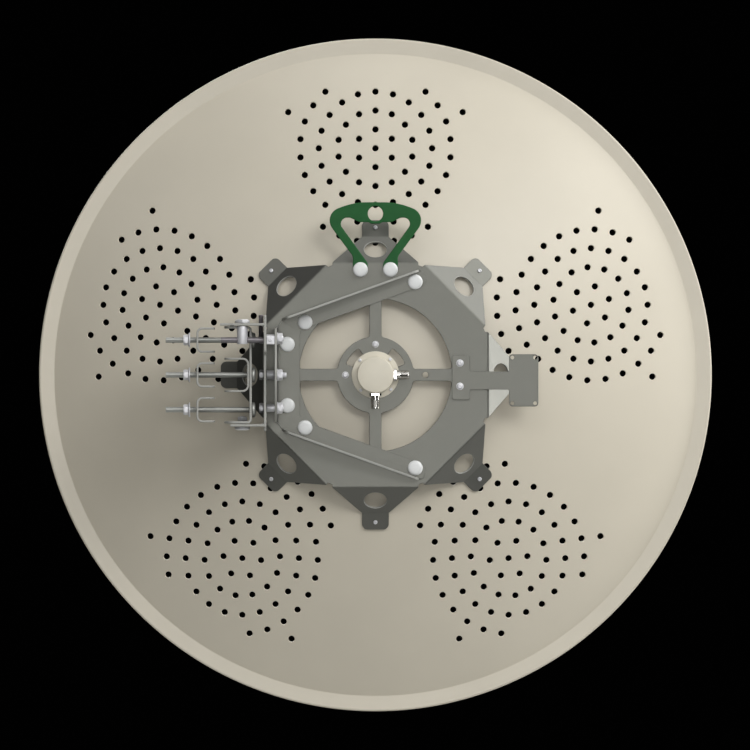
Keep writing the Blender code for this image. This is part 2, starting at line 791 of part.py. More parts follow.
def make_azimuth_pivots(material):
    """A bolt and nut through yoke and bracket, above and below."""
    outer = YOKE_HALF_Z + GAP
    inner = BRACKET_HALF_Z - BRACKET_THICK - GAP
    rings = domed_head(outer, 1) + [
        (outer, BOLT_R, "round"),
        (inner, BOLT_R, "round"),
        (inner, 0.0065, "hex"),
        (inner - 0.0068, 0.0065, "hex"),
    ]
    at = (AZIMUTH_X, 0, 0)
    make_stack("azimuth_pivot_top", "Z", at, rings, material)
    below = [(-place, radius, shape) for place, radius, shape in rings]
    make_stack("azimuth_pivot_bottom", "Z", at, below, material)


def yoke_notch():
    """Room for the pole in both plates, wide enough for the yoke to swing past it."""
    radius, shift = 0.026, 0.0062
    centre_x = POLE_X - AZIMUTH_X
    outline = [(centre_x - 0.02, radius + shift), (centre_x - 0.02, -radius - shift)]
    outline += arc((centre_x, -shift), radius, -math.pi / 2, 0, 6)
    outline += arc((centre_x, shift), radius, 0, math.pi / 2, 6)
    return outline


def make_yoke(material, parent):
    """The yoke's section, swept from front to back, then cut to its outline in plan."""
    web, top, bottom = (x - AZIMUTH_X for x in (YOKE_WEB_X, YOKE_TOP_TIP_X, YOKE_BOTTOM_TIP_X))
    inner = YOKE_HALF_Z - YOKE_THICK
    section = [
        (top, YOKE_HALF_Z),
        (top, inner),
        (web, inner),
        (web, -inner),
        (bottom, -inner),
        (bottom, -YOKE_HALF_Z),
        (web, -YOKE_HALF_Z),
        (web, YOKE_WEB_BOTTOM),
        (web + YOKE_THICK, YOKE_WEB_BOTTOM),
        (web + YOKE_THICK, YOKE_WEB_TOP),
        (web, YOKE_WEB_TOP),
        (web, YOKE_HALF_Z),
    ]
    yoke = make_prism("azimuth_yoke", "XZ", section, YOKE_EAR_Y, YOKE_HALF_Y,
                      material=material, parent=parent)
    far = 0.1
    beside_ear = box_outline(-far, -far, EAR_X - AZIMUTH_X, -YOKE_HALF_Y)
    below_ear = box_outline(-far, -far, far, -YOKE_HALF_Y)
    cutters = [
        make_prism("yoke_pole_room", "XY", yoke_notch(), -far, far, parent=parent),
        make_prism("yoke_beside_ear", "XY", beside_ear, -far, far, parent=parent),
        make_prism("yoke_below_ear", "XY", below_ear, -far, EAR_LOW_Z, parent=parent),
    ]
    for level, side in ((1, -1), (1, 1), (-1, -1), (-1, 1)):
        y_low, y_high = sorted((side * YOKE_WEB_HALF_Y, side * far))
        z_low, z_high = sorted((level * YOKE_HALF_Z, level * far))
        beside_tab = box_outline(y_low, z_low, y_high, z_high)
        name = f"yoke_beside_tab_{len(cutters)}"
        cutters.append(make_prism(name, "YZ", beside_tab, -far, far, parent=parent))
    cutters += [
        make_rods("yoke_pivot_holes", "Z", [(0, 0)], BOLT_HOLE_R, -far, far, parent),
        make_rods("yoke_screw_holes", "Z", [(SET_SCREW_X - AZIMUTH_X, SET_SCREW_Y)],
                  SET_SCREW_R + GAP, 0, far, parent),
        make_rods("yoke_post_hole", "Z", [(0, ADJUSTER_Y)], BOLT_HOLE_R, 0, far, parent),
        make_rods("yoke_tilt_holes", "X", [(0, 0), (0, LOCK_TOP_R), (0, -LOCK_BOTTOM_R)],
                  BOLT_HOLE_R, web - 0.005, web + 0.01, parent),
        make_rods("yoke_adjuster_hole", "X", [(ADJUSTER_Y, ADJUSTER_Z)],
                  ADJUSTER_R + GAP, web - 0.005, web + 0.01, parent),
    ]
    cut(yoke, *cutters)


def make_adjuster(bright, steel, parent):
    """Fine adjuster of the azimuth: a post under the top plate, a long screw, and its block."""
    under = YOKE_HALF_Z - YOKE_THICK - GAP
    over = YOKE_HALF_Z + GAP
    rings = [
        (0.0430, POST_R, "round"),
        (under, POST_R, "round"),
        (under, BOLT_R, "round"),
        (over, BOLT_R, "round"),
        (over, 0.0080, "hex"),
        (over + 0.005, 0.0080, "hex"),
    ]
    post = make_stack("adjuster_post", "Z", (0, ADJUSTER_Y, 0), rings, bright, parent)
    cut(post, make_rods("post_hole", "X", [(ADJUSTER_Y, ADJUSTER_Z)], ADJUSTER_R + GAP,
                        -0.02, 0.02, parent))
    left, right = -0.0365 - AZIMUTH_X, 0.0370 - AZIMUTH_X
    screw = [
        (left, ADJUSTER_R - 0.0008, "round"),
        (left + 0.001, ADJUSTER_R, "round"),
        (right, ADJUSTER_R, "round"),
    ]
    make_stack("adjuster_screw", "X", (0, ADJUSTER_Y, ADJUSTER_Z), screw, steel, parent)
    block_low = YOKE_WEB_X + YOKE_THICK + GAP - AZIMUTH_X
    half = 0.0061
    outline = box_outline(ADJUSTER_Y - half, ADJUSTER_Z - half, ADJUSTER_Y + half, ADJUSTER_Z + half)
    hole = circle((ADJUSTER_Y, ADJUSTER_Z), ADJUSTER_R + GAP)
    make_prism("adjuster_block", "YZ", outline, block_low, block_low + 0.011, [hole], bright, parent)
    set_screw = [(0.0535, SET_SCREW_R, "round"), (YOKE_WEB_TOP, SET_SCREW_R, "round")]
    at = (SET_SCREW_X - AZIMUTH_X, SET_SCREW_Y, 0)
    make_stack("set_screw", "Z", at, set_screw, steel, parent)


def make_tilt_bolts(material, parent):
    """The tilt pivot and two lock bolts, each with a spacer between web and tilting plate."""
    web_low = YOKE_WEB_X - GAP - AZIMUTH_X
    web_high = YOKE_WEB_X + YOKE_THICK + GAP - AZIMUTH_X
    plate_right = DISH_X + TILT_FOLD_X - AZIMUTH_X
    plate_low = plate_right - PLATE_THICK - GAP
    plate_high = plate_right + GAP
    kinds = {
        "tilt_pivot": (0, 0.0065, BOLT_R, 0.0132),
        "tilt_lock_top": (LOCK_TOP_R, 0.0060, LOCK_BOLT_R, 0.0090),
        "tilt_lock_bottom": (-LOCK_BOTTOM_R, 0.0055, LOCK_BOLT_R, 0.0090),
    }
    for name, (z, spacer_r, shank_r, nut_long) in kinds.items():
        rings = [
            (web_low - 0.0062, 0.0062, "hex"),
            (web_low, 0.0062, "hex"),
            (web_low, shank_r, "round"),
            (web_high, shank_r, "round"),
            (web_high, spacer_r, "round"),
            (plate_low, spacer_r, "round"),
            (plate_low, shank_r, "round"),
            (plate_high, shank_r, "round"),
            (plate_high, 0.0085, "round"),
            (plate_high + 0.0018, 0.0085, "round"),
            (plate_high + 0.0018, 0.0068, "hex"),
            (plate_high + nut_long, 0.0068, "hex"),
        ]
        make_stack(name, "X", (0, 0, z), rings, material, parent)


def main():
    clear_scene()
    cream = make_material("cream_paint", (0.60, 0.56, 0.44), 0.42, 0.0)
    grey = make_material("grey_paint", (0.23, 0.23, 0.20), 0.45, 0.0)
    green = make_material("green_paint", (0.02, 0.10, 0.03), 0.40, 0.0)
    zinc = make_material("bright_zinc", (0.75, 0.74, 0.71), 0.28, 0.9)
    steel = make_material("thread_steel", (0.30, 0.29, 0.27), 0.38, 0.9)
    nickel = make_material("nickel", (0.78, 0.77, 0.74), 0.15, 1.0)
    plastic = make_material("white_plastic", (0.80, 0.80, 0.78), 0.35, 0.0)
    aluminium = make_material("aluminium", (0.72, 0.72, 0.72), 0.32, 0.9)

    make_pole_bracket(grey)
    make_front_saddle(grey)
    make_rear_saddles(grey)
    make_clamp_bolts(steel)
    make_azimuth_pivots(zinc)

    azimuth = make_frame("azimuth_axis", (AZIMUTH_X, 0, 0))
    make_yoke(grey, azimuth)
    make_adjuster(zinc, steel, azimuth)
    make_tilt_bolts(zinc, azimuth)

    tilt = make_frame("tilt_axis", (DISH_X - AZIMUTH_X, 0, 0), azimuth)
    make_tilt_bracket(grey, tilt)
    make_back_plate(grey, tilt)
    make_reflector(cream, tilt)
    make_handle(green, tilt)
    make_carriage_bolts(zinc, tilt)
    make_feed(cream, plastic, aluminium, tilt)
    make_connectors(nickel, tilt)
    make_radio_bracket(grey, tilt)
    bpy.context.view_layer.update()


main()
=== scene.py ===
"""Looks of the parabolic dish antenna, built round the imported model.

Metres, +Z up, +Y the way the dish looks. The camera stands straight behind the dish.
"""

from math import atan, atan2, ceil, cos, degrees, hypot, pi, radians, sin, sqrt, tan, tau

import bmesh
import bpy
import numpy as np
from mathutils import Matrix, Vector
from mathutils.geometry import delaunay_2d_cdt


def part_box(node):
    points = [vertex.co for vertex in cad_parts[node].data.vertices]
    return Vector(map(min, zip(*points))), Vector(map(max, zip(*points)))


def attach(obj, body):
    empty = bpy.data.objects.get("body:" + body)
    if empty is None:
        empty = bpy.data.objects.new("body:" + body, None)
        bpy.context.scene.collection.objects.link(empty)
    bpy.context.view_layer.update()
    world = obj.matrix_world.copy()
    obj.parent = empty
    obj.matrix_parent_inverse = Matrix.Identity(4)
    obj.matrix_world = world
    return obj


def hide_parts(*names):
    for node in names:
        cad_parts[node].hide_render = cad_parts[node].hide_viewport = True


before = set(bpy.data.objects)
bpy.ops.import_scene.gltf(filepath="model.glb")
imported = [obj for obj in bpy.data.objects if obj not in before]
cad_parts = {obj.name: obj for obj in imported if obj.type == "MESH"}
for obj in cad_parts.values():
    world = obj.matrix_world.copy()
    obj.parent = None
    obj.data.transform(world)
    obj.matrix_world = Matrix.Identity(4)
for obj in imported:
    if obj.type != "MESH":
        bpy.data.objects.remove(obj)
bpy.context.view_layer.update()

# Gap that touching pieces keep, and where the frame holds the dish and its plate.
GAP = 0.0003
DISH_X = sum(corner.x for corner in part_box("reflector")) / 2
PLATE_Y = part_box("back_plate")[0].y
PLATE_THICK = 0.003
BEHIND = (0, -1, 0)

# Reflector: paraboloid, flat rim and forward lip, and the fields of holes.
FOCAL = 0.324
VERTEX_Y = PLATE_Y + 0.0125
VERTEX_HOLE_R = 0.018
APERTURE_R = 0.450
RIM_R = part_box("reflector")[1].x - DISH_X
RIM_SIDES = 288
RIM_STEPS = (0.422, 0.429, 0.436, 0.443)
RIM_BEND_R = 0.003
LIP_BEND_R = 0.0026
LIP_DEEP = 0.012
SHEET = 0.0022
SIEVE_R = 0.415
SIEVE_GRID = 0.015
HOLE_R = 0.0045
HOLE_SIDES = 20
HOLE_CLEAR = 0.006
HOLE_EDGE = 0.0005
HOLE_LEAN = 0.4
FIELD_R = 0.318
FIELD_STEP = 0.0265
FIELD_COUNTS = [1, 6, 14, 20, 26, 32]
FIELD_LAST_R = 0.4055
FIELD_HALF_ANGLE = 20.1

# Back plate: octagon, opening with its spokes and ring, and legs.
OCTAGON_R = 0.1583
FOLD_HALF = 0.060
NOTCH_DEEP = 0.0045
NOTCH_HALF = 0.0005
NOTCH_CORNER = 0.0008
OPENING_R = 0.1073
OPENING_CORNER = 0.004
SPOKE_HALF = 0.0085
RING_R = 0.0538
RING_HOLE_R = 0.031
LOBE_R = 0.044
LOBE_CORNER = 0.003
LOBES = ((radians(20), radians(58)), (radians(122), radians(160)))
LEG_END_R = 0.194
FOOT_END_R = 0.2175
FOOT_BOLT_R = 0.2064
FOOT_HALF = 0.01875
FOOT_CORNERS = (0.002, 0.009)
LEG_HOLE_R = 0.0159
LEG_HOLE_AT = 0.1760
SPOKE_HOLE_R = 0.0042
SPOKE_HOLE_X = 0.070

# Tilting bracket: fold, ribs, arms and the arc slots of the lock bolts.
TILT_FOLD_X = -0.1382
TILT_HALF = 0.066
TILT_REACH = 0.070
RIB_START = Vector((-0.1304, 0.0761))
RIB_END = Vector((0.0614, 0.1450))
RIB_TALL = 0.038
RIB_LOW = 0.010
RIB_SLANTS = (0.006, 0.004)
RIB_RELIEF = 0.0015
ARM_PAST = 0.005
ARM_WIDE = 0.0207
FAN_INNER_X = -0.1057
LOCK_TOP_R = 0.051
LOCK_BOTTOM_R = 0.0465
SLOT_HALF_ANGLE = radians(21)
SLOT_HALF = 0.0045

# Bolts, and where the carriage bolts are from the dish axis. A nut is (half width, thickness).
HANDLE_BOLTS = {"handle_bolt_left": (-0.0210, 0.1476), "handle_bolt_right": (0.0210, 0.1476)}
BRACKET_BOLTS = {
    "bracket_bolt_1": (0.0558, 0.1304),
    "bracket_bolt_2": (-0.0987, 0.0740),
    "bracket_bolt_3": (-0.1235, 0.0430),
    "bracket_bolt_4": (-0.1235, -0.0430),
    "bracket_bolt_5": (-0.0987, -0.0740),
    "bracket_bolt_6": (0.0558, -0.1304),
}
BOLT_R = 0.004
SHANK_R = 0.0039
LOCK_SHANK_R = 0.0037
BOLT_HOLE_R = 0.0043
BOLT_HEAD_R = 0.0105
CARRIAGE_HEAD_HIGH = 0.0045
HEAD_HIGH = 0.0050
NUT = (0.0065, 0.0058)
WEB_NUT = (0.0062, 0.0062)
TILT_NUT = (0.0068, 0.0060)
POST_NUT = (0.0080, 0.005)
BOLT_END = 0.0068

# Screws with a socket: radius and height of the head, and the socket's half width. A washer is
# (radius, thickness).
FOOT_SCREW = (0.0030, 0.0024, 0.0013)
FLANGE_SCREW = (0.0024, 0.0018, 0.0010)
RING_SCREW = (0.0039, 0.0026, 0.0016)
RADIO_SCREW = (0.0040, 0.0028, 0.0016)
RING_WASHER = (0.0048, 0.0009)
RADIO_WASHER = (0.0052, 0.0010)
CONNECTOR_SCREW = (0.0016, 0.0011, 0.0007)
BLOCK_SCREW = (0.0026, 0.0012, 0.0014)

# Handle: the right half of its outline, from the top round the foot and up the finger gap.
HANDLE_THICK = 0.005
HANDLE_EDGE = 0.0012
HANDLE_HOLE = ((0, 0.226), 0.0107)
HANDLE_RIGHT = [
    (0.0300, 0.2421, 0.100), (0.0750, 0.2250, 0.0183), (0.0315, 0.1663, 0.012),
    (0.0315, 0.1373, 0.0102), (0.0107, 0.1373, 0.0102), (0.0107, 0.1570, 0.012),
    (0.0566, 0.2204, 0.0086), (0.0350, 0.2204, 0.008), (0.0230, 0.2142, 0.008),
    (0.0095, 0.2140, 0.004), (0.0060, 0.2120, 0.004),
]

# Feed and radio bracket, from the dish axis. Bands and ends are (distance, depth).
FEED_FLANGE_R = 0.0332
FEED_FLANGE_THICK = 0.004
FLANGE_SCREW_R = 0.0298
FLANGE_SCREW_ANGLE = 46.5
HOUSING_R = 0.0256
HOUSING_LONG = 0.022
HOUSING_EDGE = 0.0018
RING_SCREWS = ((0, 0.0428), (-0.0420, 0))
TUBE_R = 0.015
TUBE_EDGE = 0.0006
TUBE_TIP_Y = VERTEX_Y + 0.285
TUBE_BANDS = (0.012, 0.017, 0.022)
BAND = [(0, 0), (0.0004, 0.0008), (0.0016, 0.0008), (0.0020, 0)]
CONE_R = 0.036
CONE_STEPS = 5
CONE_STEP = 0.0214 / CONE_STEPS
CONE_EDGE = 0.0004
CONE_END = [(0.0233, 0), (0.0237, 0.0005)]
SUB_REFLECTOR_R = 0.045
SUB_REFLECTOR_EDGE = 0.0015
DRUM_EDGE = 0.0008
RADIO_ARM_Z = (-0.0206, 0.0048)
RADIO_BASE_X = (0.1074, 0.1326)
RADIO_BASE_Z = (-0.0350, 0.0280)
RADIO_PLATE_X = (0.1873, 0.2285)
RADIO_PLATE_Z = (-0.0443, 0.0290)
RADIO_THICK = 0.003
RADIO_HOLE_R = 0.0027
RADIO_HOLE_IN = 0.0046
RADIO_SCREWS = ((0.1185, 0.0166), (0.1185, -0.0159))

# Connectors: thread (radius, sides, pitch, depth) with its distances from the wall and the tip,
# a square flange (distance from the wall, widening, limit of its corners), and outlines.
CONNECTOR_Y = PLATE_Y - 0.0157
CONNECTOR_TIP = 0.0469
CONNECTOR_HALF = 0.00845
CONNECTOR_SCREW_R = 0.0083
CONNECTOR_THREAD = (0.0062, 36, 0.0011, 0.0004)
THREAD_LOW, THREAD_HIGH = 0.0088, 0.0012
FLANGE = [
    (0, -0.0003, 0.0108), (0.0003, 0, 0.0110), (0.0030, 0, 0.0110), (0.0033, -0.0003, 0.0108),
]
BARREL = [
    (0.0032, 0.0064), (0.0052, 0.0064), (0.0056, 0.0058), (0.0074, 0.0058), (0.0078, 0.0062),
    (0.0090, 0.0062),
]
MOUTH = [(0.0014, 0.0056), (0.0002, 0.0056), (0, 0.0053), (0, 0.0043), (0.0060, 0.0042)]

# Pole clamp. A tooth's tip is a share of its width and height, and the flange of a nut is an
# outline (distance, radius).
POLE_X = -0.040
POLE_R = 0.024
NOTCH_HALF_ANGLE = radians(60)
NOTCH_TEETH = 5
TOOTH_TIP = (0.25, 0.9)
ROD_Y = 0.036
ROD_PITCH = 0.0488
ROD_LEFT_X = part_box("clamp_bolt_back_top")[0].x
TIP_X = -0.0317
WEB_X = 0.0033
BRACKET_HALF_Z = 0.0683
BRACKET_THICK = 0.0035
SADDLE_THICK = 0.003
REAR_WEB_X = -0.071
REAR_TIP_X = -0.0449
NUT_X = (-0.0892, -0.0798)
NUT_FLANGE = [(0, 0.0098), (0.0003, 0.0103), (0.0011, 0.0103), (0.0018, 0.0096), (0.0028, 0.0078)]
NUT_FLANGE_THICK = 0.0016

# Channels: half height, half width, thickness, outer bend, and corner of the arms.
BRACKET = (BRACKET_HALF_Z, 0.050, BRACKET_THICK, 0.006, 0.014)
FRONT_SADDLE = (0.0242, 0.050, SADDLE_THICK, 0.009, 0.010)
REAR_SADDLE = (0.0178, 0.048, SADDLE_THICK, 0.008, 0.008)

# Azimuth yoke and what it carries, and how far its joined parts are sunk into each other.
AZIMUTH_X = -0.0065
YOKE_THICK = 0.0035
YOKE_HALF_Z = 0.0725
YOKE_WEB_X = 0.0235
YOKE_TOP_TIP_X = -0.0379
YOKE_BOTTOM_TIP_X = -0.0233
YOKE_HALF_Y = 0.050
YOKE_EAR_Y = -0.073
EAR_X = -0.0205
EAR_LOW_Z = 0.030
BAY_R = 0.026
BAY_SHIFT = 0.0062
BAY_START = 0.0005
YOKE_WEB_TOP = 0.084
YOKE_WEB_BOTTOM = -0.079
YOKE_WEB_HALF_Y = 0.030
SUNK = 0.0004
ADJUSTER_Y = -0.064
ADJUSTER_Z = 0.0488
ADJUSTER_R = 0.0042
POST_R = 0.00745
POST_LOW = 0.0430
BLOCK_CORNER = 0.0012
BLOCK_SCREW_AT = 0.0052
SET_SCREW_X = 0.0195
SET_SCREW_Y = -0.012
SET_SCREW_R = 0.0033
SET_SCREW_THREAD = (0.001, 0.0005)

# Weld beads: side, start and end; and radius, corners, length of a ripple and its depth.
WELDS = [
    (1, YOKE_EAR_Y + 0.004, SET_SCREW_Y - 0.007),
    (1, SET_SCREW_Y + 0.007, YOKE_HALF_Y - 0.003),
    (-1, -YOKE_HALF_Y + 0.003, YOKE_HALF_Y - 0.003),
]
WELD = (0.0019, 16, 0.0026, 0.0004)

# Bolts of the level axis: height, radius of the spacer and of the shank, and length past the plate.
TILT_BOLTS = {
    "tilt_pivot": (0, 0.0065, SHANK_R, 0.0132),
    "tilt_lock_top": (LOCK_TOP_R, 0.0060, LOCK_SHANK_R, 0.0090),
    "tilt_lock_bottom": (-LOCK_BOTTOM_R, 0.0055, LOCK_SHANK_R, 0.0090),
}
WASHER_R = 0.0085
WASHER_THICK = 0.0018
WASHER_EDGE = 0.0003
THIN_EDGE = 0.0002

# Sheet metal: radii of edges and bends, the runs that a bend is cut into, and a straight run
# longer than any strip. NUDGE keeps a line of points off the corners, and SPARE is how far
# strips and shanks go past what they cross.
EDGE = 0.0006
ROLLED_EDGE = 0.0008
FAN_EDGE = 0.0004
BEND_R = 0.0016
RIB_BEND_R = 0.0008
TILT_BEND_R = 0.0035
BEND_STEPS = 5
STRAIGHT = (1.0, 0)
NUDGE = 1e-6
SPARE = 0.001

# Threads: pitch, depth, depth along the long rods, and length of the taper at both ends; and how
# far the parts of one piece run into each other.
PITCH = 0.00125
THREAD_DEEP = 0.0007
SHALLOW = 0.0003
TAPER = 0.001
OVERLAP = 0.0005

# The photograph's width in metres and its middle, how far off the camera is, and the floor.
FRAME_WIDTH = 1.0515
CAMERA_BACK = Vector((0, -2, 0))
VIEW_CENTRE = Vector((DISH_X - 0.00056, 0, -0.00014))
FLOOR_Z = -1.25
FLOOR_HALF = 1.8

# Soft boxes: name, degrees off the camera's line, degrees round it from the right, width as a
# share of the distance, and brightness, white being 1.
LIGHT_DISTANCE = 12.0
LIGHTS = [
    ("key", 62, 38, 0.50, 3.9),
    ("upper_right", 35.4, 45, 0.35, 9.2),
    ("front", 0, 0, 0.16, 19.0),
    ("right_side", 98, 3, 0.45, 9.8),
    ("high_right_side", 98, 42, 0.45, 5.5),
    ("above", 35.4, 92, 0.35, 3.0),
    ("overhead", 97, 92, 0.45, 1.6),
    ("top", 72, 95, 0.50, 1.8),
    ("upper_left", 35.4, 137, 0.35, 2.2),
    ("left", 60, 150, 0.50, 0.9),
    ("far_side", 150, 120, 0.60, 4.6),
]

# The range that most of a noise's values lie in, and the frequency of the smears of dullness as
# a share of the grain's.
NOISE_LOW, NOISE_HIGH = 0.3, 0.7
SMEARS = 0.12


def set_inputs(material, node, **inputs):
    """Gives a node's inputs their values, or links them to the outputs that are given."""
    for name, value in inputs.items():
        socket = node.inputs[name.replace("_", " ")]
        if isinstance(value, bpy.types.NodeSocket):
            material.node_tree.links.new(value, socket)
        else:
            socket.default_value = value


def add_node(material, kind, **inputs):
    node = material.node_tree.nodes.new("ShaderNode" + kind)
    set_inputs(material, node, **inputs)
    return node


def finish(name, colour, roughness, metallic=0.0, variation=0.04, blotch=0.05, spread=0.05,
           grain=0.0012, height=0.00001, stretch=(1, 1, 1), specular=0.5, ior=1.5,
           shine=(1, 1, 1)):
    """A procedural finish: a colour that wanders a little, a roughness that varies by the
    spread, and a fine relief. The sizes of blotches, grain and relief are in metres."""
    material = bpy.data.materials.new(name)
    material.use_nodes = True
    place = add_node(material, "TexCoord").outputs["Object"]
    patches = add_node(material, "TexNoise", Vector=place, Scale=1 / blotch, Detail=5)
    tint = add_node(material, "ValToRGB", Fac=patches.outputs["Fac"])
    stops = ((NOISE_LOW, 1 - variation), (NOISE_HIGH, 1 + variation))
    for stop, (position, share) in zip(tint.color_ramp.elements, stops):
        stop.position = position
        stop.color = (*(min(1, c * share) for c in colour), 1)
    scaled = add_node(material, "Mapping", Vector=place, Scale=stretch).outputs["Vector"]
    smear = add_node(material, "TexNoise", Vector=scaled, Scale=SMEARS / grain, Detail=4)
    dull = add_node(material, "MapRange", Value=smear.outputs["Fac"], From_Min=NOISE_LOW,
                    From_Max=NOISE_HIGH, To_Min=roughness - spread, To_Max=roughness + spread)
    relief = add_node(material, "TexNoise", Vector=scaled, Scale=1 / grain, Detail=3)
    bump = add_node(material, "Bump", Strength=1.0, Distance=height, Height=relief.outputs["Fac"])
    set_inputs(material, material.node_tree.nodes["Principled BSDF"],
               Base_Color=tint.outputs["Color"], Roughness=dull.outputs["Result"],
               Normal=bump.outputs["Normal"], Metallic=metallic, IOR=ior,
               Specular_IOR_Level=specular, Specular_Tint=(*shine, 1))
    return material


def polar(radius, angle):
    return Vector((radius * cos(angle), radius * sin(angle)))


def put(name, data):
    """A new object in the scene."""
    made = bpy.data.objects.new(name, data)
    bpy.context.scene.collection.objects.link(made)
    return made


def around(count):
    """Each place of a closed ring with the one that follows it."""
    return [(i, (i + 1) % count) for i in range(count)]


def arc(centre, radius, start, end, steps):
    """Points of an arc, from one angle to another, both ends included."""
    angles = [start + (end - start) * i / steps for i in range(steps + 1)]
    return [(centre[0] + radius * cos(a), centre[1] + radius * sin(a)) for a in angles]


def circle(centre, radius=BOLT_HOLE_R, sides=20):
    return arc(centre, radius, 0.0, tau * (1 - 1 / sides), sides - 1)


def rounded(corners, steps=8):
    """An outline from corners (u, v, radius), each replaced by an arc that meets both sides."""
    outline = []
    for i, (u, v, radius) in enumerate(corners):
        corner = Vector((u, v))
        if radius == 0:
            outline.append((u, v))
            continue
        nearby = (corners[i - 1], corners[(i + 1) % len(corners)])
        before, after = ((Vector(other[:2]) - corner).normalized() for other in nearby)
        half = before.angle(after) / 2
        centre = corner + (before + after).normalized() * radius / sin(half)
        first, last = (corner + way * radius / tan(half) - centre for way in (before, after))
        turn = atan2(first.cross(last), first.dot(last))
        start = atan2(first.y, first.x)
        outline += arc(centre, radius, start, start + turn, steps)
    return outline


def mirrored(half, flip=(1, -1)):
    """Half an outline, followed by its mirror image in the other direction."""
    return half + [(flip[0] * u, flip[1] * v, *rest) for u, v, *rest in reversed(half)]


def square(half):
    return [(-half, -half), (half, -half), (half, half), (-half, half)]


def turned(loops):
    """The loops as vectors, the outer one anticlockwise and the holes clockwise."""
    made = []
    for number, loop in enumerate(loops):
        points = [Vector(point) for point in loop]
        area = sum(a.cross(b) for a, b in zip(points, points[1:] + points[:1]))
        made.append(points if (area > 0) == (number == 0) else points[::-1])
    return made


def inset(loop, distance):
    """The loop moved into the material, which lies to its left. Sharp corners move less."""
    least_cosine = 0.35
    moved = []
    for i, point in enumerate(loop):
        before = (point - loop[i - 1]).normalized()
        after = (loop[(i + 1) % len(loop)] - point).normalized()
        left = Vector((-before.y, before.x))
        left_after = Vector((-after.y, after.x))
        middle = (left + left_after).normalized()
        moved.append(point + middle * distance / max(middle.dot(left_after), least_cosine))
    return moved


def broken_edges(thick, edge):
    """Levels (depth, inset) across a plate whose edges are rounded, in steps of 30 degrees."""
    low, high = edge * 0.134, edge * 0.5
    rise = [(0, edge), (low, high), (high, low), (edge, 0)]
    return rise + [(thick - depth, moved) for depth, moved in reversed(rise)]


class Tab:
    """A strip of a sheet that bends away along a line, by straight runs and arcs (length, turn)."""

    def __init__(self, start, outward, low, high, pieces):
        self.start = Vector(start)
        self.outward = Vector(outward).normalized()
        self.along = Vector((-self.outward.y, self.outward.x))
        self.low, self.high = low, high
        self.pieces = pieces

    def stations(self):
        """Distances past the start at which the sheet needs a line of points."""
        found, reached = [], 0.0
        for length, turn in self.pieces:
            if turn:
                found += [reached + length * i / BEND_STEPS for i in range(BEND_STEPS + 1)]
            reached += length
        return found

    def crossings(self, loops, distance):
        """Adds to the loops the points on the line at a distance, and returns those in pairs."""
        start = self.start + self.outward * distance
        found = []
        for k, loop in enumerate(loops):
            made = []
            for point, following in zip(loop, loop[1:] + loop[:1]):
                made.append(point)
                near = (point - start).dot(self.outward)
                far = (following - start).dot(self.outward)
                if near * far < 0:
                    crossing = point + (following - point) * near / (near - far)
                    if self.low < (crossing - start).dot(self.along) < self.high:
                        made.append(crossing)
                        found.append(crossing)
            loops[k] = made
        found.sort(key=lambda crossing: (crossing - start).dot(self.along))
        return list(zip(found[::2], found[1::2]))

    def holds(self, point):
        offset = point - self.start
        return offset.dot(self.outward) > 0 and self.low < offset.dot(self.along) < self.high

    def walk(self, distance):
        """How far out and away the sheet has gone after a distance, and its heading."""
        out = away = heading = 0.0
        for length, turn in self.pieces:
            step = min(distance, length)
            half = turn * step / length / 2
            chord = step * sin(half) / half if half else step
            out += chord * cos(heading + half)
            away += chord * sin(heading + half)
            heading += 2 * half
            distance -= step
        return out, away, heading

    def bend(self, point, depth):
        offset = point - self.start
        out, away, heading = self.walk(offset.dot(self.outward))
        out -= sin(heading) * depth
        flat = self.start + self.outward * out + self.along * offset.dot(self.along)
        return flat.x, flat.y, away + cos(heading) * depth


def inside(points, loops):
    """Which of the points lie in the material, by counting the edges to their right."""
    x, y = np.array(points).T[:, :, None]
    sides = [(*a, *b) for loop in loops for a, b in zip(loop, loop[1:] + loop[:1]) if a.y != b.y]
    ax, ay, bx, by = np.array(sides).T
    crossed = ((y > ay) != (y > by)) & (x < ax + (y - ay) * (bx - ax) / (by - ay))
    return crossed.sum(axis=1) % 2 == 1


def triangulate(loops, loose=(), extra_edges=()):
    """Triangles on the loops and loose points, as indices into those one after another."""
    edges, start = list(extra_edges), 0
    for loop in loops:
        edges += [(start + i, start + j) for i, j in around(len(loop))]
        start += len(loop)
    points = [*(p for loop in loops for p in loop), *loose]
    _, _, faces, origins, _, _ = delaunay_2d_cdt(points, edges, [], 0, 1e-9)
    return points, [[origins[i][0] for i in face] for face in faces]


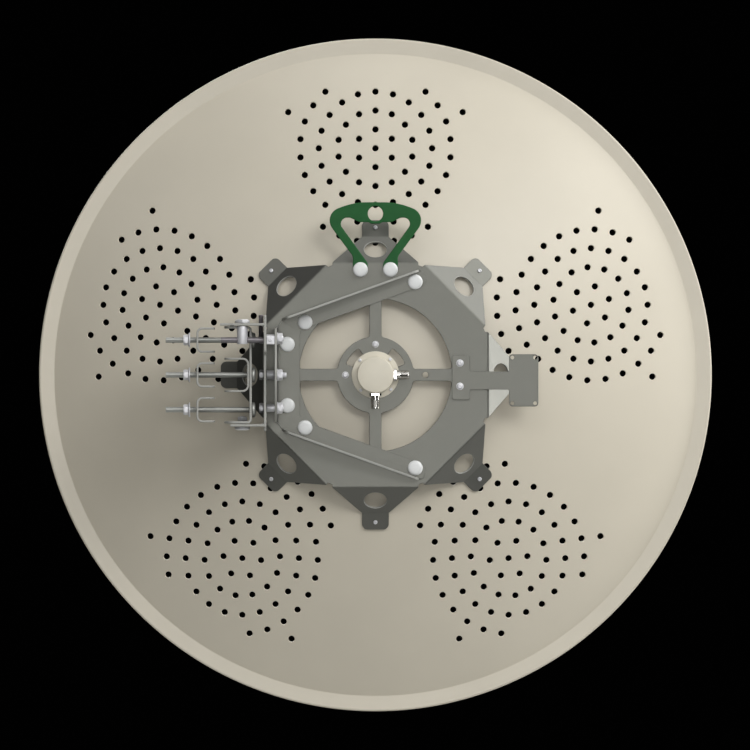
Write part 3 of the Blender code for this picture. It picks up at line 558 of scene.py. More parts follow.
def add_sheet(bm, loops, to_space, thick, edge=EDGE, tabs=(), worn_and_highlit_edge=lambda n, point: False):
    """A plate of any outline with holes, broken edges and bends. to_space takes (u, v, depth).

    Where the edge test says so of a loop's number and point, the cut edge wears the second finish,
    a lighter grey that is partly worn paint and partly a painted highlight."""
    loops = turned(loops)
    pairs = []
    for tab in tabs:
        for station in tab.stations():
            pairs += tab.crossings(loops, station + NUDGE)
    order = {id(p): i for i, p in enumerate(p for loop in loops for p in loop)}
    points, triangles = triangulate(loops, (), [(order[id(a)], order[id(b)]) for a, b in pairs])
    kept = inside([sum((points[i] for i in t), Vector((0, 0))) / 3 for t in triangles], loops)
    triangles = [t for t, keep in zip(triangles, kept) if keep]

    def place(flat, depth, moved):
        for tab in tabs:
            if tab.holds(flat):
                return to_space(*tab.bend(moved, depth))
        return to_space(moved.x, moved.y, depth)

    rings = []
    for depth, distance in broken_edges(thick, edge):
        ring = []
        for loop in loops:
            moved = inset(loop, distance)
            ring.append([bm.verts.new(place(p, depth, m)) for p, m in zip(loop, moved)])
        rings.append(ring)
    made = []
    for lower, upper in zip(rings, rings[1:]):
        for number, (near, far) in enumerate(zip(lower, upper)):
            for i, j in around(len(near)):
                wall = bm.faces.new((near[i], near[j], far[j], far[i]))
                # The chosen cut walls take the lighter edge grey, partly worn paint and partly a
                # painted highlight.
                is_worn_and_highlit = worn_and_highlit_edge(number, loops[number][i]) and worn_and_highlit_edge(number, loops[number][j])
                wall.material_index = int(is_worn_and_highlit)
                made.append(wall)
    for ring in (rings[0], rings[-1]):
        corners = [v for loop in ring for v in loop]
        made += [bm.faces.new([corners[i] for i in triangle]) for triangle in triangles]
    bmesh.ops.recalc_face_normals(bm, faces=made)


# Where this is the edge test, the sheet's outer cut edge wears the lighter edge grey, partly worn
# paint and partly a painted highlight.
def outline_wall(number, point):
    """The wall around a whole sheet is its first loop's."""
    return number == 0


def towards(at, direction=BEHIND, side="Y"):
    """A frame at a point, whose own Z runs along a direction."""
    turn = Vector(direction).to_track_quat("Z", side).to_matrix().to_4x4()
    return Matrix.Translation(at) @ turn


def add_rings(bm, matrix, places, sides, radius_at):
    """Rings at places on the frame's Z, joined and closed at both ends. radius_at takes the
    ring's number and an angle."""
    rings = []
    for number, place in enumerate(places):
        ring = []
        for i in range(sides):
            angle = tau * i / sides
            r = radius_at(number, angle)
            spot = Vector((r * cos(angle), r * sin(angle), place))
            ring.append(bm.verts.new(matrix @ spot))
        rings.append(ring)
    faces = [bm.faces.new(rings[0]), bm.faces.new(rings[-1])]
    for lower, upper in zip(rings, rings[1:]):
        for i, j in around(sides):
            faces.append(bm.faces.new((lower[i], lower[j], upper[j], upper[i])))
    bmesh.ops.recalc_face_normals(bm, faces=faces)


def section_radius(angle, radius, corners=0, limit=1.0):
    """Radius of a round section at an angle, or of one with flats at the radius and corners."""
    if corners:
        step = 360 / corners
        from_flat = radians((degrees(angle) + step / 2) % step - step / 2)
        radius /= cos(from_flat)
    return min(radius, limit)


def add_turned(bm, matrix, outline, sides=24):
    """A turned solid from (place, radius), or (place, radius, corners, limit) for cornered ones."""
    places = [place for place, *_ in outline]
    add_rings(bm, matrix, places, sides, lambda n, angle: section_radius(angle, *outline[n][1:]))


def add_thread(bm, matrix, low, high, radius, sides=20, pitch=PITCH, deep=THREAD_DEEP):
    """A threaded rod: its radius follows a helix, and both ends are tapered."""
    count = max(2, round((high - low) / (pitch / 4)))
    places = [low + (high - low) * k / count for k in range(count + 1)]

    def radius_at(number, angle):
        place = places[number]
        taper = max(0.0, 1 - min(place - low, high - place) / TAPER) * deep
        wave = 0.5 - 0.5 * cos(tau * place / pitch - angle)
        return radius - max(taper, deep * wave)

    add_rings(bm, matrix, places, sides, radius_at)


def nut_rings(seat, outward, flat, thick):
    """A hexagonal nut with chamfered corners, from its seat outward."""
    corner = flat * 1.12
    levels = [(0, flat), (0.12, corner), (0.3, 1.0), (0.7, 1.0), (0.88, corner), (1, flat)]
    return [(seat + outward * thick * up, flat, 6, limit) for up, limit in levels]


def domed_rings(seat, radius, high):
    """A mushroom head, from its seat to its crown."""
    levels = [(0.0, 0.97), (0.08, 1.0), (0.30, 1.0)]
    for share in (0.12, 0.25, 0.4, 0.55, 0.7, 0.85, 0.96):
        levels.append((0.30 + 0.70 * (1 - (1 - share) ** 2.2), 1.0 - share**2.6))
    return [(seat + high * up, radius * wide) for up, wide in levels]


def drum_rings(low, high, radius, edge):
    """A drum with rounded edges, from low to high along its axis."""
    rings = [(low, radius - edge)]
    for i in range(1, 4):
        turn = pi / 2 * i / 3
        rings.append((low + edge * (1 - cos(turn)), radius - edge * (1 - sin(turn))))
    return rings + [(low + high - place, r) for place, r in reversed(rings)]


def screw(at, direction, size, lift=0.0):
    """A pan head with a six-sided socket, from its seat to the socket's floor, as a part."""
    radius, high, socket = size
    rings = [(0, 0.96), (0.15, 1), (0.55, 0.97), (0.85, 0.84), (1, 0.62)]
    outline = [(lift + high * up, radius * wide) for up, wide in rings]
    outline += [(lift + high, socket, 6), (lift + high * 0.35, socket * 0.97, 6)]
    return add_turned, towards(at, direction), outline


def washers_and_screws(spots, y, washer, size):
    """Parts behind the dish, at spots (x, z) from its axis: washers with a screw on each."""
    radius, thick = washer
    low, high = (THIN_EDGE, radius), (thick - THIN_EDGE, radius)
    outline = [(0, radius - THIN_EDGE), low, high, (thick, radius - WASHER_EDGE)]
    parts = []
    for x, z in spots:
        at = (DISH_X + x, y, z)
        parts += [(add_turned, towards(at), outline), screw(at, BEHIND, size, thick)]
    return parts


def bolt_parts(axis, nut_seat, head_seat, head_high):
    """Domed head, shank, nut and thread end of a short bolt."""
    return [
        (add_turned, axis, domed_rings(head_seat, BOLT_HEAD_R, head_high), 48),
        (add_turned, axis, [(nut_seat - SPARE, SHANK_R), (head_seat + OVERLAP, SHANK_R)]),
        (add_turned, axis, nut_rings(nut_seat, -1, *NUT)),
        (add_thread, axis, nut_seat - BOLT_END, nut_seat - OVERLAP, SHANK_R),
    ]


def make_mesh(name, finishes, parts, sharp=32):
    """A mesh of parts, each the function that adds it and what that function takes.

    Edges sharper than so many degrees stay sharp."""
    bm = bmesh.new()
    for add, *values in parts:
        add(bm, *values)
    mesh = bpy.data.meshes.new(name)
    bm.to_mesh(mesh)
    bm.free()
    mesh.shade_smooth()
    mesh.set_sharp_from_angle(angle=radians(sharp))
    for finish_name in finishes.split():
        mesh.materials.append(FINISHES[finish_name][0])
    return mesh


def link_piece(name, mesh, body, node, at=(0, 0, 0), is_sheet=False):
    """Puts a mesh in the scene, on its body, in the place of the node it stands for."""
    piece = put(name, mesh)
    piece.location = at
    if is_sheet:
        normals = piece.modifiers.new("even_light", "WEIGHTED_NORMAL")
        normals.keep_sharp = True
    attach(piece, body)
    if node:
        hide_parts(node)


def add_piece(name, finishes, body, node, parts, sharp=32):
    """A piece made of parts. One without a name of its own is called after its node."""
    name = name or f"{node}_made"
    mesh = make_mesh(name, finishes, parts, sharp)
    is_sheet = any(part[0] is add_sheet for part in parts)
    link_piece(name, mesh, body, node, is_sheet=is_sheet)


def plate_space(y):
    """A plate that faces the camera: u is X from the dish axis, v is Z, depth is away."""
    return lambda u, v, depth: (DISH_X + u, y + depth, v)


def reflector_back(radius):
    return VERTEX_Y + radius**2 / (4 * FOCAL)


def reflector_normal(flat):
    """Unit normal of the reflector's back, at a place (x, z) from the dish axis."""
    return Vector((flat.x / (2 * FOCAL), -1, flat.y / (2 * FOCAL))).normalized()


def in_reflector(flat, depth=0.0):
    """The place in the reflector's sheet that is seen at (x, z), at a depth below its back."""
    return Vector((flat.x, reflector_back(flat.length), flat.y)) - reflector_normal(flat) * depth


def field_holes():
    """Centres of the round holes: five fields of rings, cut off by the rim and by two radii."""
    centres = []
    for field in range(5):
        turn = radians(90 + 72 * field)
        middle = polar(FIELD_R, turn)
        for ring, count in enumerate(FIELD_COUNTS):
            for i in range(count):
                spot = middle + polar(ring * FIELD_STEP, turn + tau * i / count)
                off = degrees(atan2(spot.y, spot.x) - turn + pi) % 360 - 180
                if spot.length < FIELD_LAST_R and abs(off) < FIELD_HALF_ANGLE:
                    centres.append(spot)
    return centres


def grid_points(centres):
    """Points of a triangular grid on the sieve part, clear of the holes."""
    step, row_step = SIEVE_GRID, SIEVE_GRID * 0.866
    rows = ceil(SIEVE_R / row_step)
    holes = np.array([tuple(c) for c in centres])
    points = []
    for row in range(-rows, rows + 1):
        for column in range(-rows, rows + 1):
            x, z = step * (column + 0.5 * (row % 2)), row_step * row
            if VERTEX_HOLE_R + step * 0.6 < hypot(x, z) < SIEVE_R - step * 0.5:
                if np.hypot(holes[:, 0] - x, holes[:, 1] - z).min() > HOLE_R + HOLE_CLEAR:
                    points.append(Vector((x, z)))
    return points


def sieve_mesh():
    """The perforated part of the reflector: points, faces and a normal for each face corner."""
    centres = field_holes()
    loops = [circle((0, 0), SIEVE_R, RIM_SIDES), circle((0, 0), VERTEX_HOLE_R, 72)]
    loops += [circle(c, HOLE_R + HOLE_EDGE, HOLE_SIDES) for c in centres]
    loops = [[Vector(p) for p in loop] for loop in loops]
    grid = grid_points(centres)
    points, triangles = triangulate(loops, grid)
    owner = [k for k, loop in enumerate(loops) for _ in loop] + [-1] * len(grid)
    triangles = [t for t in triangles if owner[t[0]] < 1 or len({owner[i] for i in t}) > 1]
    normals = [reflector_normal(p) for p in points]
    places = [in_reflector(p) for p in points] + [in_reflector(p, SHEET) for p in points]
    total = len(points)
    made = [(t, [normals[i] for i in t]) for t in triangles]
    made += [([total + i for i in t], [-normals[i] for i in t]) for t in triangles]
    start = RIM_SIDES
    for centre, loop in zip([Vector((0, 0)), *centres], loops[1:]):
        outs = [p - centre for p in loop]
        rims = [list(range(start, start + len(loop)))]
        for depth in (HOLE_EDGE, SHEET - HOLE_EDGE):
            rims.append(list(range(len(places), len(places) + len(loop))))
            places += [
                in_reflector(centre + out * (1 - HOLE_EDGE / out.length), depth) for out in outs
            ]
        rims.append([total + i for i in rims[0]])
        normal = reflector_normal(centre)
        for level, (near, far) in enumerate(zip(rims, rims[1:])):
            for i, j in around(len(loop)):
                made.append(([near[i], near[j], far[j], far[i]], [
                    hole_normal(outs[m], normal, level + side)
                    for m, side in ((i, 0), (j, 0), (j, 1), (i, 1))
                ]))
        start += len(loop)
    return places, made, total


def hole_normal(out, normal, level):
    """Normal on a hole's wall: the sheet's at either rim, leaning into the hole between them."""
    wall = -Vector((out.x, 0, out.y)).normalized()
    lean = normal * HOLE_LEAN
    return [normal, (wall + lean).normalized(), (wall - lean).normalized(), -normal][level]


def rim_profile():
    """The seen side from the sieve's edge to the lip's end, as (radius, y, heading)."""
    profile = [
        (r, reflector_back(r), atan(r / (2 * FOCAL))) for r in (SIEVE_R, *RIM_STEPS)
    ]
    slope = atan(APERTURE_R / (2 * FOCAL))
    cut = RIM_BEND_R * tan(slope / 2)
    bends = [
        (RIM_BEND_R * slope, -slope, 8),
        (RIM_R - LIP_BEND_R - APERTURE_R - cut, 0, 1),
        (LIP_BEND_R * pi / 2, pi / 2, 8),
        (LIP_DEEP - LIP_BEND_R, 0, 1),
    ]
    radius = APERTURE_R - cut * cos(slope)
    y = reflector_back(APERTURE_R) - cut * sin(slope)
    heading = slope
    profile.append((radius, y, heading))
    for length, turn, steps in bends:
        for _ in range(steps):
            mean = heading + turn / steps / 2
            radius += length / steps * cos(mean)
            y += length / steps * sin(mean)
            heading += turn / steps
            profile.append((radius, y, heading))
    return profile


def rim_section():
    """The rim's section round the lip's end and back, as (radius, y, heading, side)."""
    profile = rim_profile()
    end_r, end_y, end_h = profile[-1]
    half = SHEET / 2
    middle_r, middle_y = end_r - sin(end_h) * half, end_y + cos(end_h) * half
    section = [(*station, -1) for station in profile]
    for i in range(1, 6):
        turn = end_h - pi / 2 + pi * i / 6
        r, y = middle_r + half * cos(turn), middle_y + half * sin(turn)
        section.append((r, y, turn + pi / 2, -1))
    return section + [
        (r - sin(h) * SHEET, y + cos(h) * SHEET, h, 1) for r, y, h in reversed(profile)
    ]


def make_reflector():
    """The sieve, and the rim turned round the axis from its edge."""
    places, made, total = sieve_mesh()
    section = rim_section()
    last = len(section) - 1
    rings, normals = [], []
    for i in range(RIM_SIDES):
        angle = tau * i / RIM_SIDES
        ring = [i, *range(len(places), len(places) + last - 1), total + i]
        places += [
            Vector((r * cos(angle), y, r * sin(angle))) for r, y, _, _ in section[1:-1]
        ]
        outs = [(side * -sin(h), side * cos(h)) for _, _, h, side in section]
        rings.append(ring)
        normals.append([
            Vector((out * cos(angle), along, out * sin(angle))) for out, along in outs
        ])
    for i, j in around(RIM_SIDES):
        for k in range(last):
            corners = ((i, k), (i, k + 1), (j, k + 1), (j, k))
            made.append(([rings[a][b] for a, b in corners], [normals[a][b] for a, b in corners]))
    faces, corner_normals = [], []
    for corners, bearings in made:
        a, b, c = (places[i] for i in corners[:3])
        if (b - a).cross(c - a).dot(sum(bearings, Vector())) < 0:
            corners, bearings = corners[::-1], bearings[::-1]
        faces.append(corners)
        corner_normals += bearings
    mesh = bpy.data.meshes.new("reflector_sheet")
    mesh.from_pydata([(p.x + DISH_X, p.y, p.z) for p in places], [], faces)
    mesh.shade_smooth()
    mesh.normals_split_custom_set([tuple(n) for n in corner_normals])
    mesh.materials.append(FINISHES["cream"][0])
    link_piece("reflector_sheet", mesh, "dish", "reflector")


def quadrant_opening(quarter):
    """One opening between the spokes, its four corners filleted."""
    fillet = OPENING_CORNER
    line = SPOKE_HALF + fillet
    inner = Vector((sqrt((RING_R + fillet) ** 2 - line**2), line))
    outer = Vector((sqrt((OPENING_R - fillet) ** 2 - line**2), line))
    inner_angle = atan2(inner.y, inner.x)
    outer_angle = atan2(outer.y, outer.x)
    half = arc((0, 0), RING_R, pi / 4, inner_angle, 10)[:-1]
    half += arc(inner, fillet, inner_angle + pi, 3 * pi / 2, 6)
    half += arc(outer, fillet, -pi / 2, outer_angle, 8)
    half += arc((0, 0), OPENING_R, outer_angle, pi / 4, 20)[1:]
    points = half + [(v, u) for u, v in reversed(half[1:-1])]
    turn = Matrix.Rotation(quarter * pi / 2, 2)
    return [tuple(turn @ Vector(p)) for p in points]


def ring_hole():
    """The hole under the feed flange, with a wider lobe on each side above the middle."""
    outline = []
    angle = 0.0
    for low, high in LOBES:
        outline += arc((0, 0), RING_HOLE_R, angle, low, 6)
        outline += rounded_lobe(low, high)
        angle = high
    return outline + arc((0, 0), RING_HOLE_R, angle, tau, 40)[:-1]


def rounded_lobe(low, high):
    """The outer arc of a lobe with both its corners rounded."""
    corner = LOBE_CORNER
    lean = corner / (LOBE_R - corner)
    start, end = low + lean, high - lean
    outline = arc(polar(LOBE_R - corner, start), corner, low - pi / 2, start, 4)
    outline += arc((0, 0), LOBE_R, start, end, 8)[1:-1]
    return outline + arc(polar(LOBE_R - corner, end), corner, end, high + pi / 2, 4)


def leg_tabs():
    """The bends of the eight legs: out of the octagon, then back along the reflector."""
    foot_slope = atan(FOOT_BOLT_R / (2 * FOCAL))
    foot_y = reflector_back(FOOT_BOLT_R) - (PLATE_THICK + GAP) / cos(foot_slope)
    bend_y = foot_y + tan(foot_slope) * (LEG_END_R - FOOT_BOLT_R)
    lean = atan((bend_y - PLATE_Y) / (LEG_END_R - OCTAGON_R))
    slant = (LEG_END_R - OCTAGON_R) / cos(lean)
    first_r, second_r = BEND_R + PLATE_THICK, BEND_R
    first_cut = first_r * tan(lean / 2)
    second_cut = second_r * tan((lean - foot_slope) / 2)
    pieces = [
        (first_r * lean, lean),
        (slant - first_cut - second_cut, 0),
        (second_r * (lean - foot_slope), foot_slope - lean),
        (FOOT_END_R - LEG_END_R, 0),
    ]
    tabs = []
    for side in range(8):
        outward = Matrix.Rotation(side * pi / 4, 2) @ Vector((1, 0))
        start = outward * (OCTAGON_R - first_cut)
        tabs.append(Tab(start, outward, -FOLD_HALF - SPARE, FOLD_HALF + SPARE, pieces))
    spare = first_cut - first_r * lean + first_cut
    leg_end = OCTAGON_R + slant - spare - second_cut + second_r * (lean - foot_slope) / 2
    hole_at = OCTAGON_R + (LEG_HOLE_AT - OCTAGON_R) / cos(lean) - spare
    foot_end = leg_end + (FOOT_END_R - LEG_END_R) / cos(foot_slope)
    return tabs, leg_end, foot_end, hole_at, (foot_y, foot_slope)


def make_back_plate():
    tabs, leg_end, foot_end, hole_at, bolt_frame = leg_tabs()
    leg = mirrored([
        (OCTAGON_R - NOTCH_DEEP, -FOLD_HALF - NOTCH_HALF, NOTCH_CORNER),
        (OCTAGON_R, -FOLD_HALF, 0),
        (leg_end, -FOOT_HALF, FOOT_CORNERS[0]), (foot_end, -FOOT_HALF, FOOT_CORNERS[1]),
    ])
    corners, holes = [], []
    for side in range(8):
        turn = Matrix.Rotation(side * pi / 4, 2)
        corners += [(*(turn @ Vector((r, t))), radius) for r, t, radius in leg]
        holes.append([tuple(turn @ Vector(p)) for p in circle((hole_at, 0), LEG_HOLE_R, 48)])
    holes += [quadrant_opening(quarter) for quarter in range(4)]
    holes += [ring_hole(), circle((SPOKE_HOLE_X, 0), SPOKE_HOLE_R, 24)]
    holes += [circle(spot) for spot in (*HANDLE_BOLTS.values(), *BRACKET_BOLTS.values())]

    # The walls of the eight leg holes wear the lighter edge grey, partly worn paint and partly a
    # painted highlight.
    def leg_hole_wall(number, point):
        return 1 <= number <= 8

    loops = [rounded(corners), *holes]
    plate = (add_sheet, loops, plate_space(PLATE_Y), PLATE_THICK, EDGE, tabs, leg_hole_wall)
    add_piece("leg_plate", "grey grey_cut", "dish", "back_plate", [plate])
    make_foot_screws(*bolt_frame)


def make_foot_screws(foot_y, slope):
    """A small screw on each foot, square to it."""
    screws = []
    for side in range(8):
        x, z = polar(1, side * pi / 4)
        out = Vector((x, 0, z))
        at = out * FOOT_BOLT_R + Vector((DISH_X, foot_y, 0))
        normal = out * sin(slope) + Vector((0, -cos(slope), 0))
        screws.append(screw(at, normal, FOOT_SCREW))
    add_piece("foot_screws", "zinc", "dish", None, screws)


def fan_outline():
    """Flat pattern of the tilting bracket, from its left fold round both ribs."""
    along = (RIB_END - RIB_START).normalized()
    inward = Vector((along.y, -along.x))
    tip = RIB_END + along * ARM_PAST
    inner_tip = tip + inward * ARM_WIDE
    start = RIB_START + inward * ARM_WIDE
    inner_z = start.y + (FAN_INNER_X - start.x) * along.y / along.x
    tall = RIB_START + along * RIB_SLANTS[0] - inward * unbent(RIB_TALL, RIB_BEND_R)
    low = RIB_END - along * RIB_SLANTS[1] - inward * unbent(RIB_LOW, RIB_BEND_R)
    ribs = mirrored([
        (TILT_FOLD_X, TILT_HALF, 0), (*RIB_START, 0), (*tall, 0.006), (*low, 0.004),
        (*RIB_END, 0), (*tip, 0.002), (*inner_tip, 0.009), (FAN_INNER_X, inner_z, 0.010),
    ])
    plate = [
        (TILT_FOLD_X - unbent(PLATE_Y - PLATE_THICK - GAP, TILT_BEND_R) + y, z)
        for y, z in arc((0, 0), TILT_HALF, 3 * pi / 2, pi / 2, 48)
    ]
    return rounded(ribs, 6) + plate


def unbent(height, bend_r):
    """How far from its fold line a point lies in the flat pattern, from its height bent up."""
    return height - bend_r * (2 - pi / 2)


def lock_slot(radius, middle):
    """An arc-shaped slot about the tilt axis, as points (y, z)."""
    low, high = middle - SLOT_HALF_ANGLE, middle + SLOT_HALF_ANGLE
    first, last = polar(radius, low), polar(radius, high)
    outline = arc((0, 0), radius + SLOT_HALF, low, high, 20)
    outline += arc(last, SLOT_HALF, high, high + pi, 10)[1:-1]
    outline += arc((0, 0), radius - SLOT_HALF, high, low, 20)
    return outline + arc(first, SLOT_HALF, low + pi, low + tau, 10)[1:-1]


def make_tilt_bracket():
    face_y = PLATE_Y - GAP - PLATE_THICK
    folds = [[(r * pi / 2, -pi / 2), STRAIGHT] for r in (RIB_BEND_R, TILT_BEND_R)]
    along = (RIB_END - RIB_START).normalized()
    outward = Vector((-along.y, along.x))
    reach = (RIB_END - RIB_START).length + SPARE
    top = RIB_START - outward * RIB_BEND_R
    tabs = [
        Tab((TILT_FOLD_X + TILT_BEND_R, 0), (-1, 0), -TILT_REACH, TILT_REACH, folds[1]),
        Tab(top, outward, -reach, RIB_RELIEF, folds[0]),
        Tab((top.x, -top.y), (outward.x, -outward.y), -RIB_RELIEF, reach, folds[0]),
    ]
    middle = TILT_FOLD_X - unbent(face_y, TILT_BEND_R)
    holes = [circle((middle, 0), sides=24)]
    slots = [lock_slot(LOCK_TOP_R, pi / 2), lock_slot(LOCK_BOTTOM_R, -pi / 2)]
    holes += [[(middle + y, z) for y, z in slot] for slot in slots]
    holes += [circle(spot) for spot in BRACKET_BOLTS.values()]

    # The bent edges of the ribs and the upright wear the lighter edge grey, partly worn paint and
    # partly a painted highlight along them.
    def bent_edge(number, point):
        return outline_wall(number, point) and any(tab.holds(point) for tab in tabs)

    fan = (add_sheet, [fan_outline(), *holes], plate_space(face_y), PLATE_THICK, FAN_EDGE, tabs,
           bent_edge)
    add_piece("tilt_fan", "grey grey_cut", "dish", "tilt_bracket", [fan])


def make_handle():
    holes = [circle(spot) for spot in HANDLE_BOLTS.values()] + [circle(*HANDLE_HOLE, 48)]
    outline = rounded(mirrored(HANDLE_RIGHT, (-1, 1)), 12)
    space = plate_space(PLATE_Y - GAP - HANDLE_THICK)
    grip = (add_sheet, [outline, *holes], space, HANDLE_THICK, HANDLE_EDGE)
    add_piece("grip", "green", "dish", "handle", [grip])


def make_carriage_bolts():
    """Mushroom heads behind, nuts and thread ends in front of the plate."""
    front = PLATE_Y + PLATE_THICK + GAP
    for thick, spots in ((HANDLE_THICK, HANDLE_BOLTS), (PLATE_THICK, BRACKET_BOLTS)):
        seat = -PLATE_Y + 2 * GAP + thick
        parts = bolt_parts(towards((0, 0, 0)), -front, seat, CARRIAGE_HEAD_HIGH)
        mesh = make_mesh("carriage_bolt", "dull_zinc", parts, 28)
        for name, (x, z) in spots.items():
            link_piece(name + "_made", mesh, "dish", name, (DISH_X + x, 0, z))


def make_feed():
    axis = towards((DISH_X, 0, 0))
    flange_y = PLATE_Y - GAP - FEED_FLANGE_THICK
    housing_y = flange_y - GAP
    flange = drum_rings(-PLATE_Y + GAP, -flange_y, FEED_FLANGE_R, DRUM_EDGE)
    housing = drum_rings(-housing_y, -housing_y + HOUSING_LONG, HOUSING_R, HOUSING_EDGE)
    drums = (("flange_disc", "feed_flange", flange), ("housing_drum", "feed_housing", housing))
    for name, node, drum in drums:
        add_piece(name, "feed_paint", "dish", node, [(add_turned, axis, drum, 96)])
    spots = [polar(FLANGE_SCREW_R, radians(FLANGE_SCREW_ANGLE + 90 * i)) for i in range(4)]
    add_piece("flange_screws", "zinc", "dish", None, [
        screw((DISH_X + x, flange_y, z), BEHIND, FLANGE_SCREW) for x, z in spots
    ])
    add_piece("ring_screws", "zinc", "dish", None,
              washers_and_screws(RING_SCREWS, PLATE_Y, RING_WASHER, RING_SCREW))
    make_feed_front(axis)


def make_feed_front(axis):
    """The tube, its cone and the small reflector that it carries."""
    tip = -TUBE_TIP_Y
    tube = [(tip, TUBE_R - TUBE_EDGE), (tip + TUBE_EDGE, TUBE_R)]
    for band in TUBE_BANDS:
        tube += [(tip + band + along, TUBE_R - deep) for along, deep in BAND]
    tube += [(-PLATE_Y - TUBE_EDGE, TUBE_R), (-PLATE_Y, TUBE_R - TUBE_EDGE)]
    add_piece("waveguide_tube", "aluminium", "dish", "feed_tube", [(add_turned, axis, tube, 72)])
    tip -= GAP
    cone = [(tip, TUBE_R - TUBE_EDGE), (tip - TUBE_EDGE, TUBE_R)]
    for step in range(CONE_STEPS):
        low = tip - TUBE_EDGE - CONE_STEP * step
        radius = TUBE_R + (CONE_R - TUBE_R) * (step + 1) / CONE_STEPS
        cone += [(low - CONE_EDGE, radius - CONE_EDGE), (low - 2 * CONE_EDGE, radius),
                 (low - CONE_STEP, radius)]
    cone += [(tip - along, CONE_R - deep) for along, deep in CONE_END]
    add_piece("feed_lens", "plastic", "dish", "feed_cone", [(add_turned, axis, cone, 72)])
    back, front = (-corner.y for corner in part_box("sub_reflector"))
    plate = drum_rings(front, back, SUB_REFLECTOR_R, SUB_REFLECTOR_EDGE)
    add_piece("splash_plate", "aluminium", "dish", "sub_reflector",
              [(add_turned, axis, plate, 96)])


def make_connectors():
    """Two coaxial connectors on the housing's wall: flange, threaded barrel and open end."""
    wall, tip = HOUSING_R + GAP, CONNECTOR_TIP
    for name, direction in (("connector_right", (1, 0, 0)), ("connector_bottom", (0, 0, -1))):
        matrix = towards((DISH_X, CONNECTOR_Y, 0), direction)
        flange = [(wall + up, CONNECTOR_HALF + wider, 4, limit) for up, wider, limit in FLANGE]
        parts = [
            (add_turned, matrix, flange, 48),
            (add_turned, matrix, [(wall + up, radius) for up, radius in BARREL], 36),
            (add_thread, matrix, wall + THREAD_LOW, tip - THREAD_HIGH, *CONNECTOR_THREAD),
            (add_turned, matrix, [(tip - down, radius) for down, radius in MOUTH], 36),
        ]
        for spot in circle((0, 0), CONNECTOR_SCREW_R, 8)[1::2]:
            at = matrix @ Vector((*spot, flange[-1][0]))
            parts.append(screw(at, direction, CONNECTOR_SCREW))
        add_piece(None, "nickel", "dish", name, parts)


def make_radio_bracket():
    (base_low, base_high), (plate_low, plate_high) = RADIO_BASE_X, RADIO_PLATE_X

    def half_outline(arm_z, base_z, plate_z):
        return [
            (base_low, base_z, 0.003), (base_high, base_z, 0.003), (base_high, arm_z, 0.002),
            (plate_low, arm_z, 0.002), (plate_low, plate_z, 0.005), (plate_high, plate_z, 0.005),
        ]

    lower, upper = (half_outline(*z) for z in zip(RADIO_ARM_Z, RADIO_BASE_Z, RADIO_PLATE_Z))
    holes = [
        circle((x, z), RADIO_HOLE_R, 24)
        for x in (plate_low + RADIO_HOLE_IN, plate_high - RADIO_HOLE_IN)
        for z in (RADIO_PLATE_Z[0] + RADIO_HOLE_IN, RADIO_PLATE_Z[1] - RADIO_HOLE_IN)
    ]
    low = PLATE_Y - GAP - RADIO_THICK
    loops = [rounded(lower + upper[::-1]), *holes]
    add_piece("radio_plate", "grey", "dish", "radio_bracket",
              [(add_sheet, loops, plate_space(low), RADIO_THICK)])
    add_piece("radio_screws", "zinc", "dish", None,
              washers_and_screws(RADIO_SCREWS, low, RADIO_WASHER, RADIO_SCREW))


def channel(web_x, tip_x, floor_x, sizes, holes, pivots=(), rise=0.0):
    """A bent channel as a part: its web in the YZ plane, and two arms that hold the pole."""
    half_z, half_y, thick, outer_bend, corner = sizes
    facing = 1 if web_x > tip_x else -1
    pieces = [(outer_bend * pi / 2, pi / 2), STRAIGHT]
    fold_z = half_z - outer_bend
    saved = 2 * outer_bend - outer_bend * pi / 2
    edge = arm_edge(half_z + abs(tip_x - web_x) - saved, half_y, tip_x, floor_x, facing, corner)
    loops = [mirrored(mirrored(edge[::-1], (-1, 1))), *holes]
    for x in pivots:
        spot = half_z - saved + abs(x - web_x)
        loops += [circle((0, side * spot)) for side in (-1, 1)]
    tabs = [
        Tab((0, side * fold_z), (0, side), -half_y - SPARE, half_y + SPARE, pieces)
        for side in (-1, 1)
    ]
    return (add_sheet, loops, lambda u, v, depth: (web_x - facing * depth, u, v + rise), thick,
            ROLLED_EDGE, tabs, outline_wall)


def arm_edge(arm, half_y, tip_x, floor_x, facing, corner):
    """Free edge of an arm in its flat pattern: toothed V from its middle, then a round corner."""
    apex = POLE_X + facing * POLE_R / sin(NOTCH_HALF_ANGLE)
    slope, deep = tan(NOTCH_HALF_ANGLE), abs(tip_x - floor_x)
    floor_half, mouth_half = abs(floor_x - apex) * slope, abs(tip_x - apex) * slope
    points = [(floor_half, arm - deep)]
    width, rise = (mouth_half - floor_half) / NOTCH_TEETH, deep / NOTCH_TEETH
    for i in range(NOTCH_TEETH):
        side, height = floor_half + width * i, arm - deep + rise * i
        points.append((side + width * TOOTH_TIP[0], height + rise * TOOTH_TIP[1]))
        points.append((side + width, height + rise))
    return points + arc((half_y - corner, arm - corner), corner, pi / 2, 0, 10)


def make_channels():
    floor_x = POLE_X + POLE_R + GAP
    rear_floor_x = REAR_WEB_X + SADDLE_THICK + GAP
    holes = [circle((side * ROD_Y, 0)) for side in (-1, 1)]
    rod_holes = [
        circle((side * ROD_Y, level * ROD_PITCH)) for side in (-1, 1) for level in (-1, 0, 1)
    ]
    channels = [
        ("pole_channel", "pole_bracket",
         channel(WEB_X + BRACKET_THICK, TIP_X, floor_x, BRACKET, rod_holes, [AZIMUTH_X])),
        ("front_channel", "front_saddle",
         channel(SADDLE_THICK, TIP_X, floor_x, FRONT_SADDLE, holes)),
    ]
    for name, level in (("top", 1), ("middle", 0), ("bottom", -1)):
        part = channel(REAR_WEB_X, REAR_TIP_X, rear_floor_x, REAR_SADDLE, holes,
                       rise=level * ROD_PITCH)
        channels.append((f"rear_channel_{name}", f"rear_saddle_{name}", part))
    for name, node, part in channels:
        add_piece(name, "grey grey_cut", "pole_clamp", node, [part])


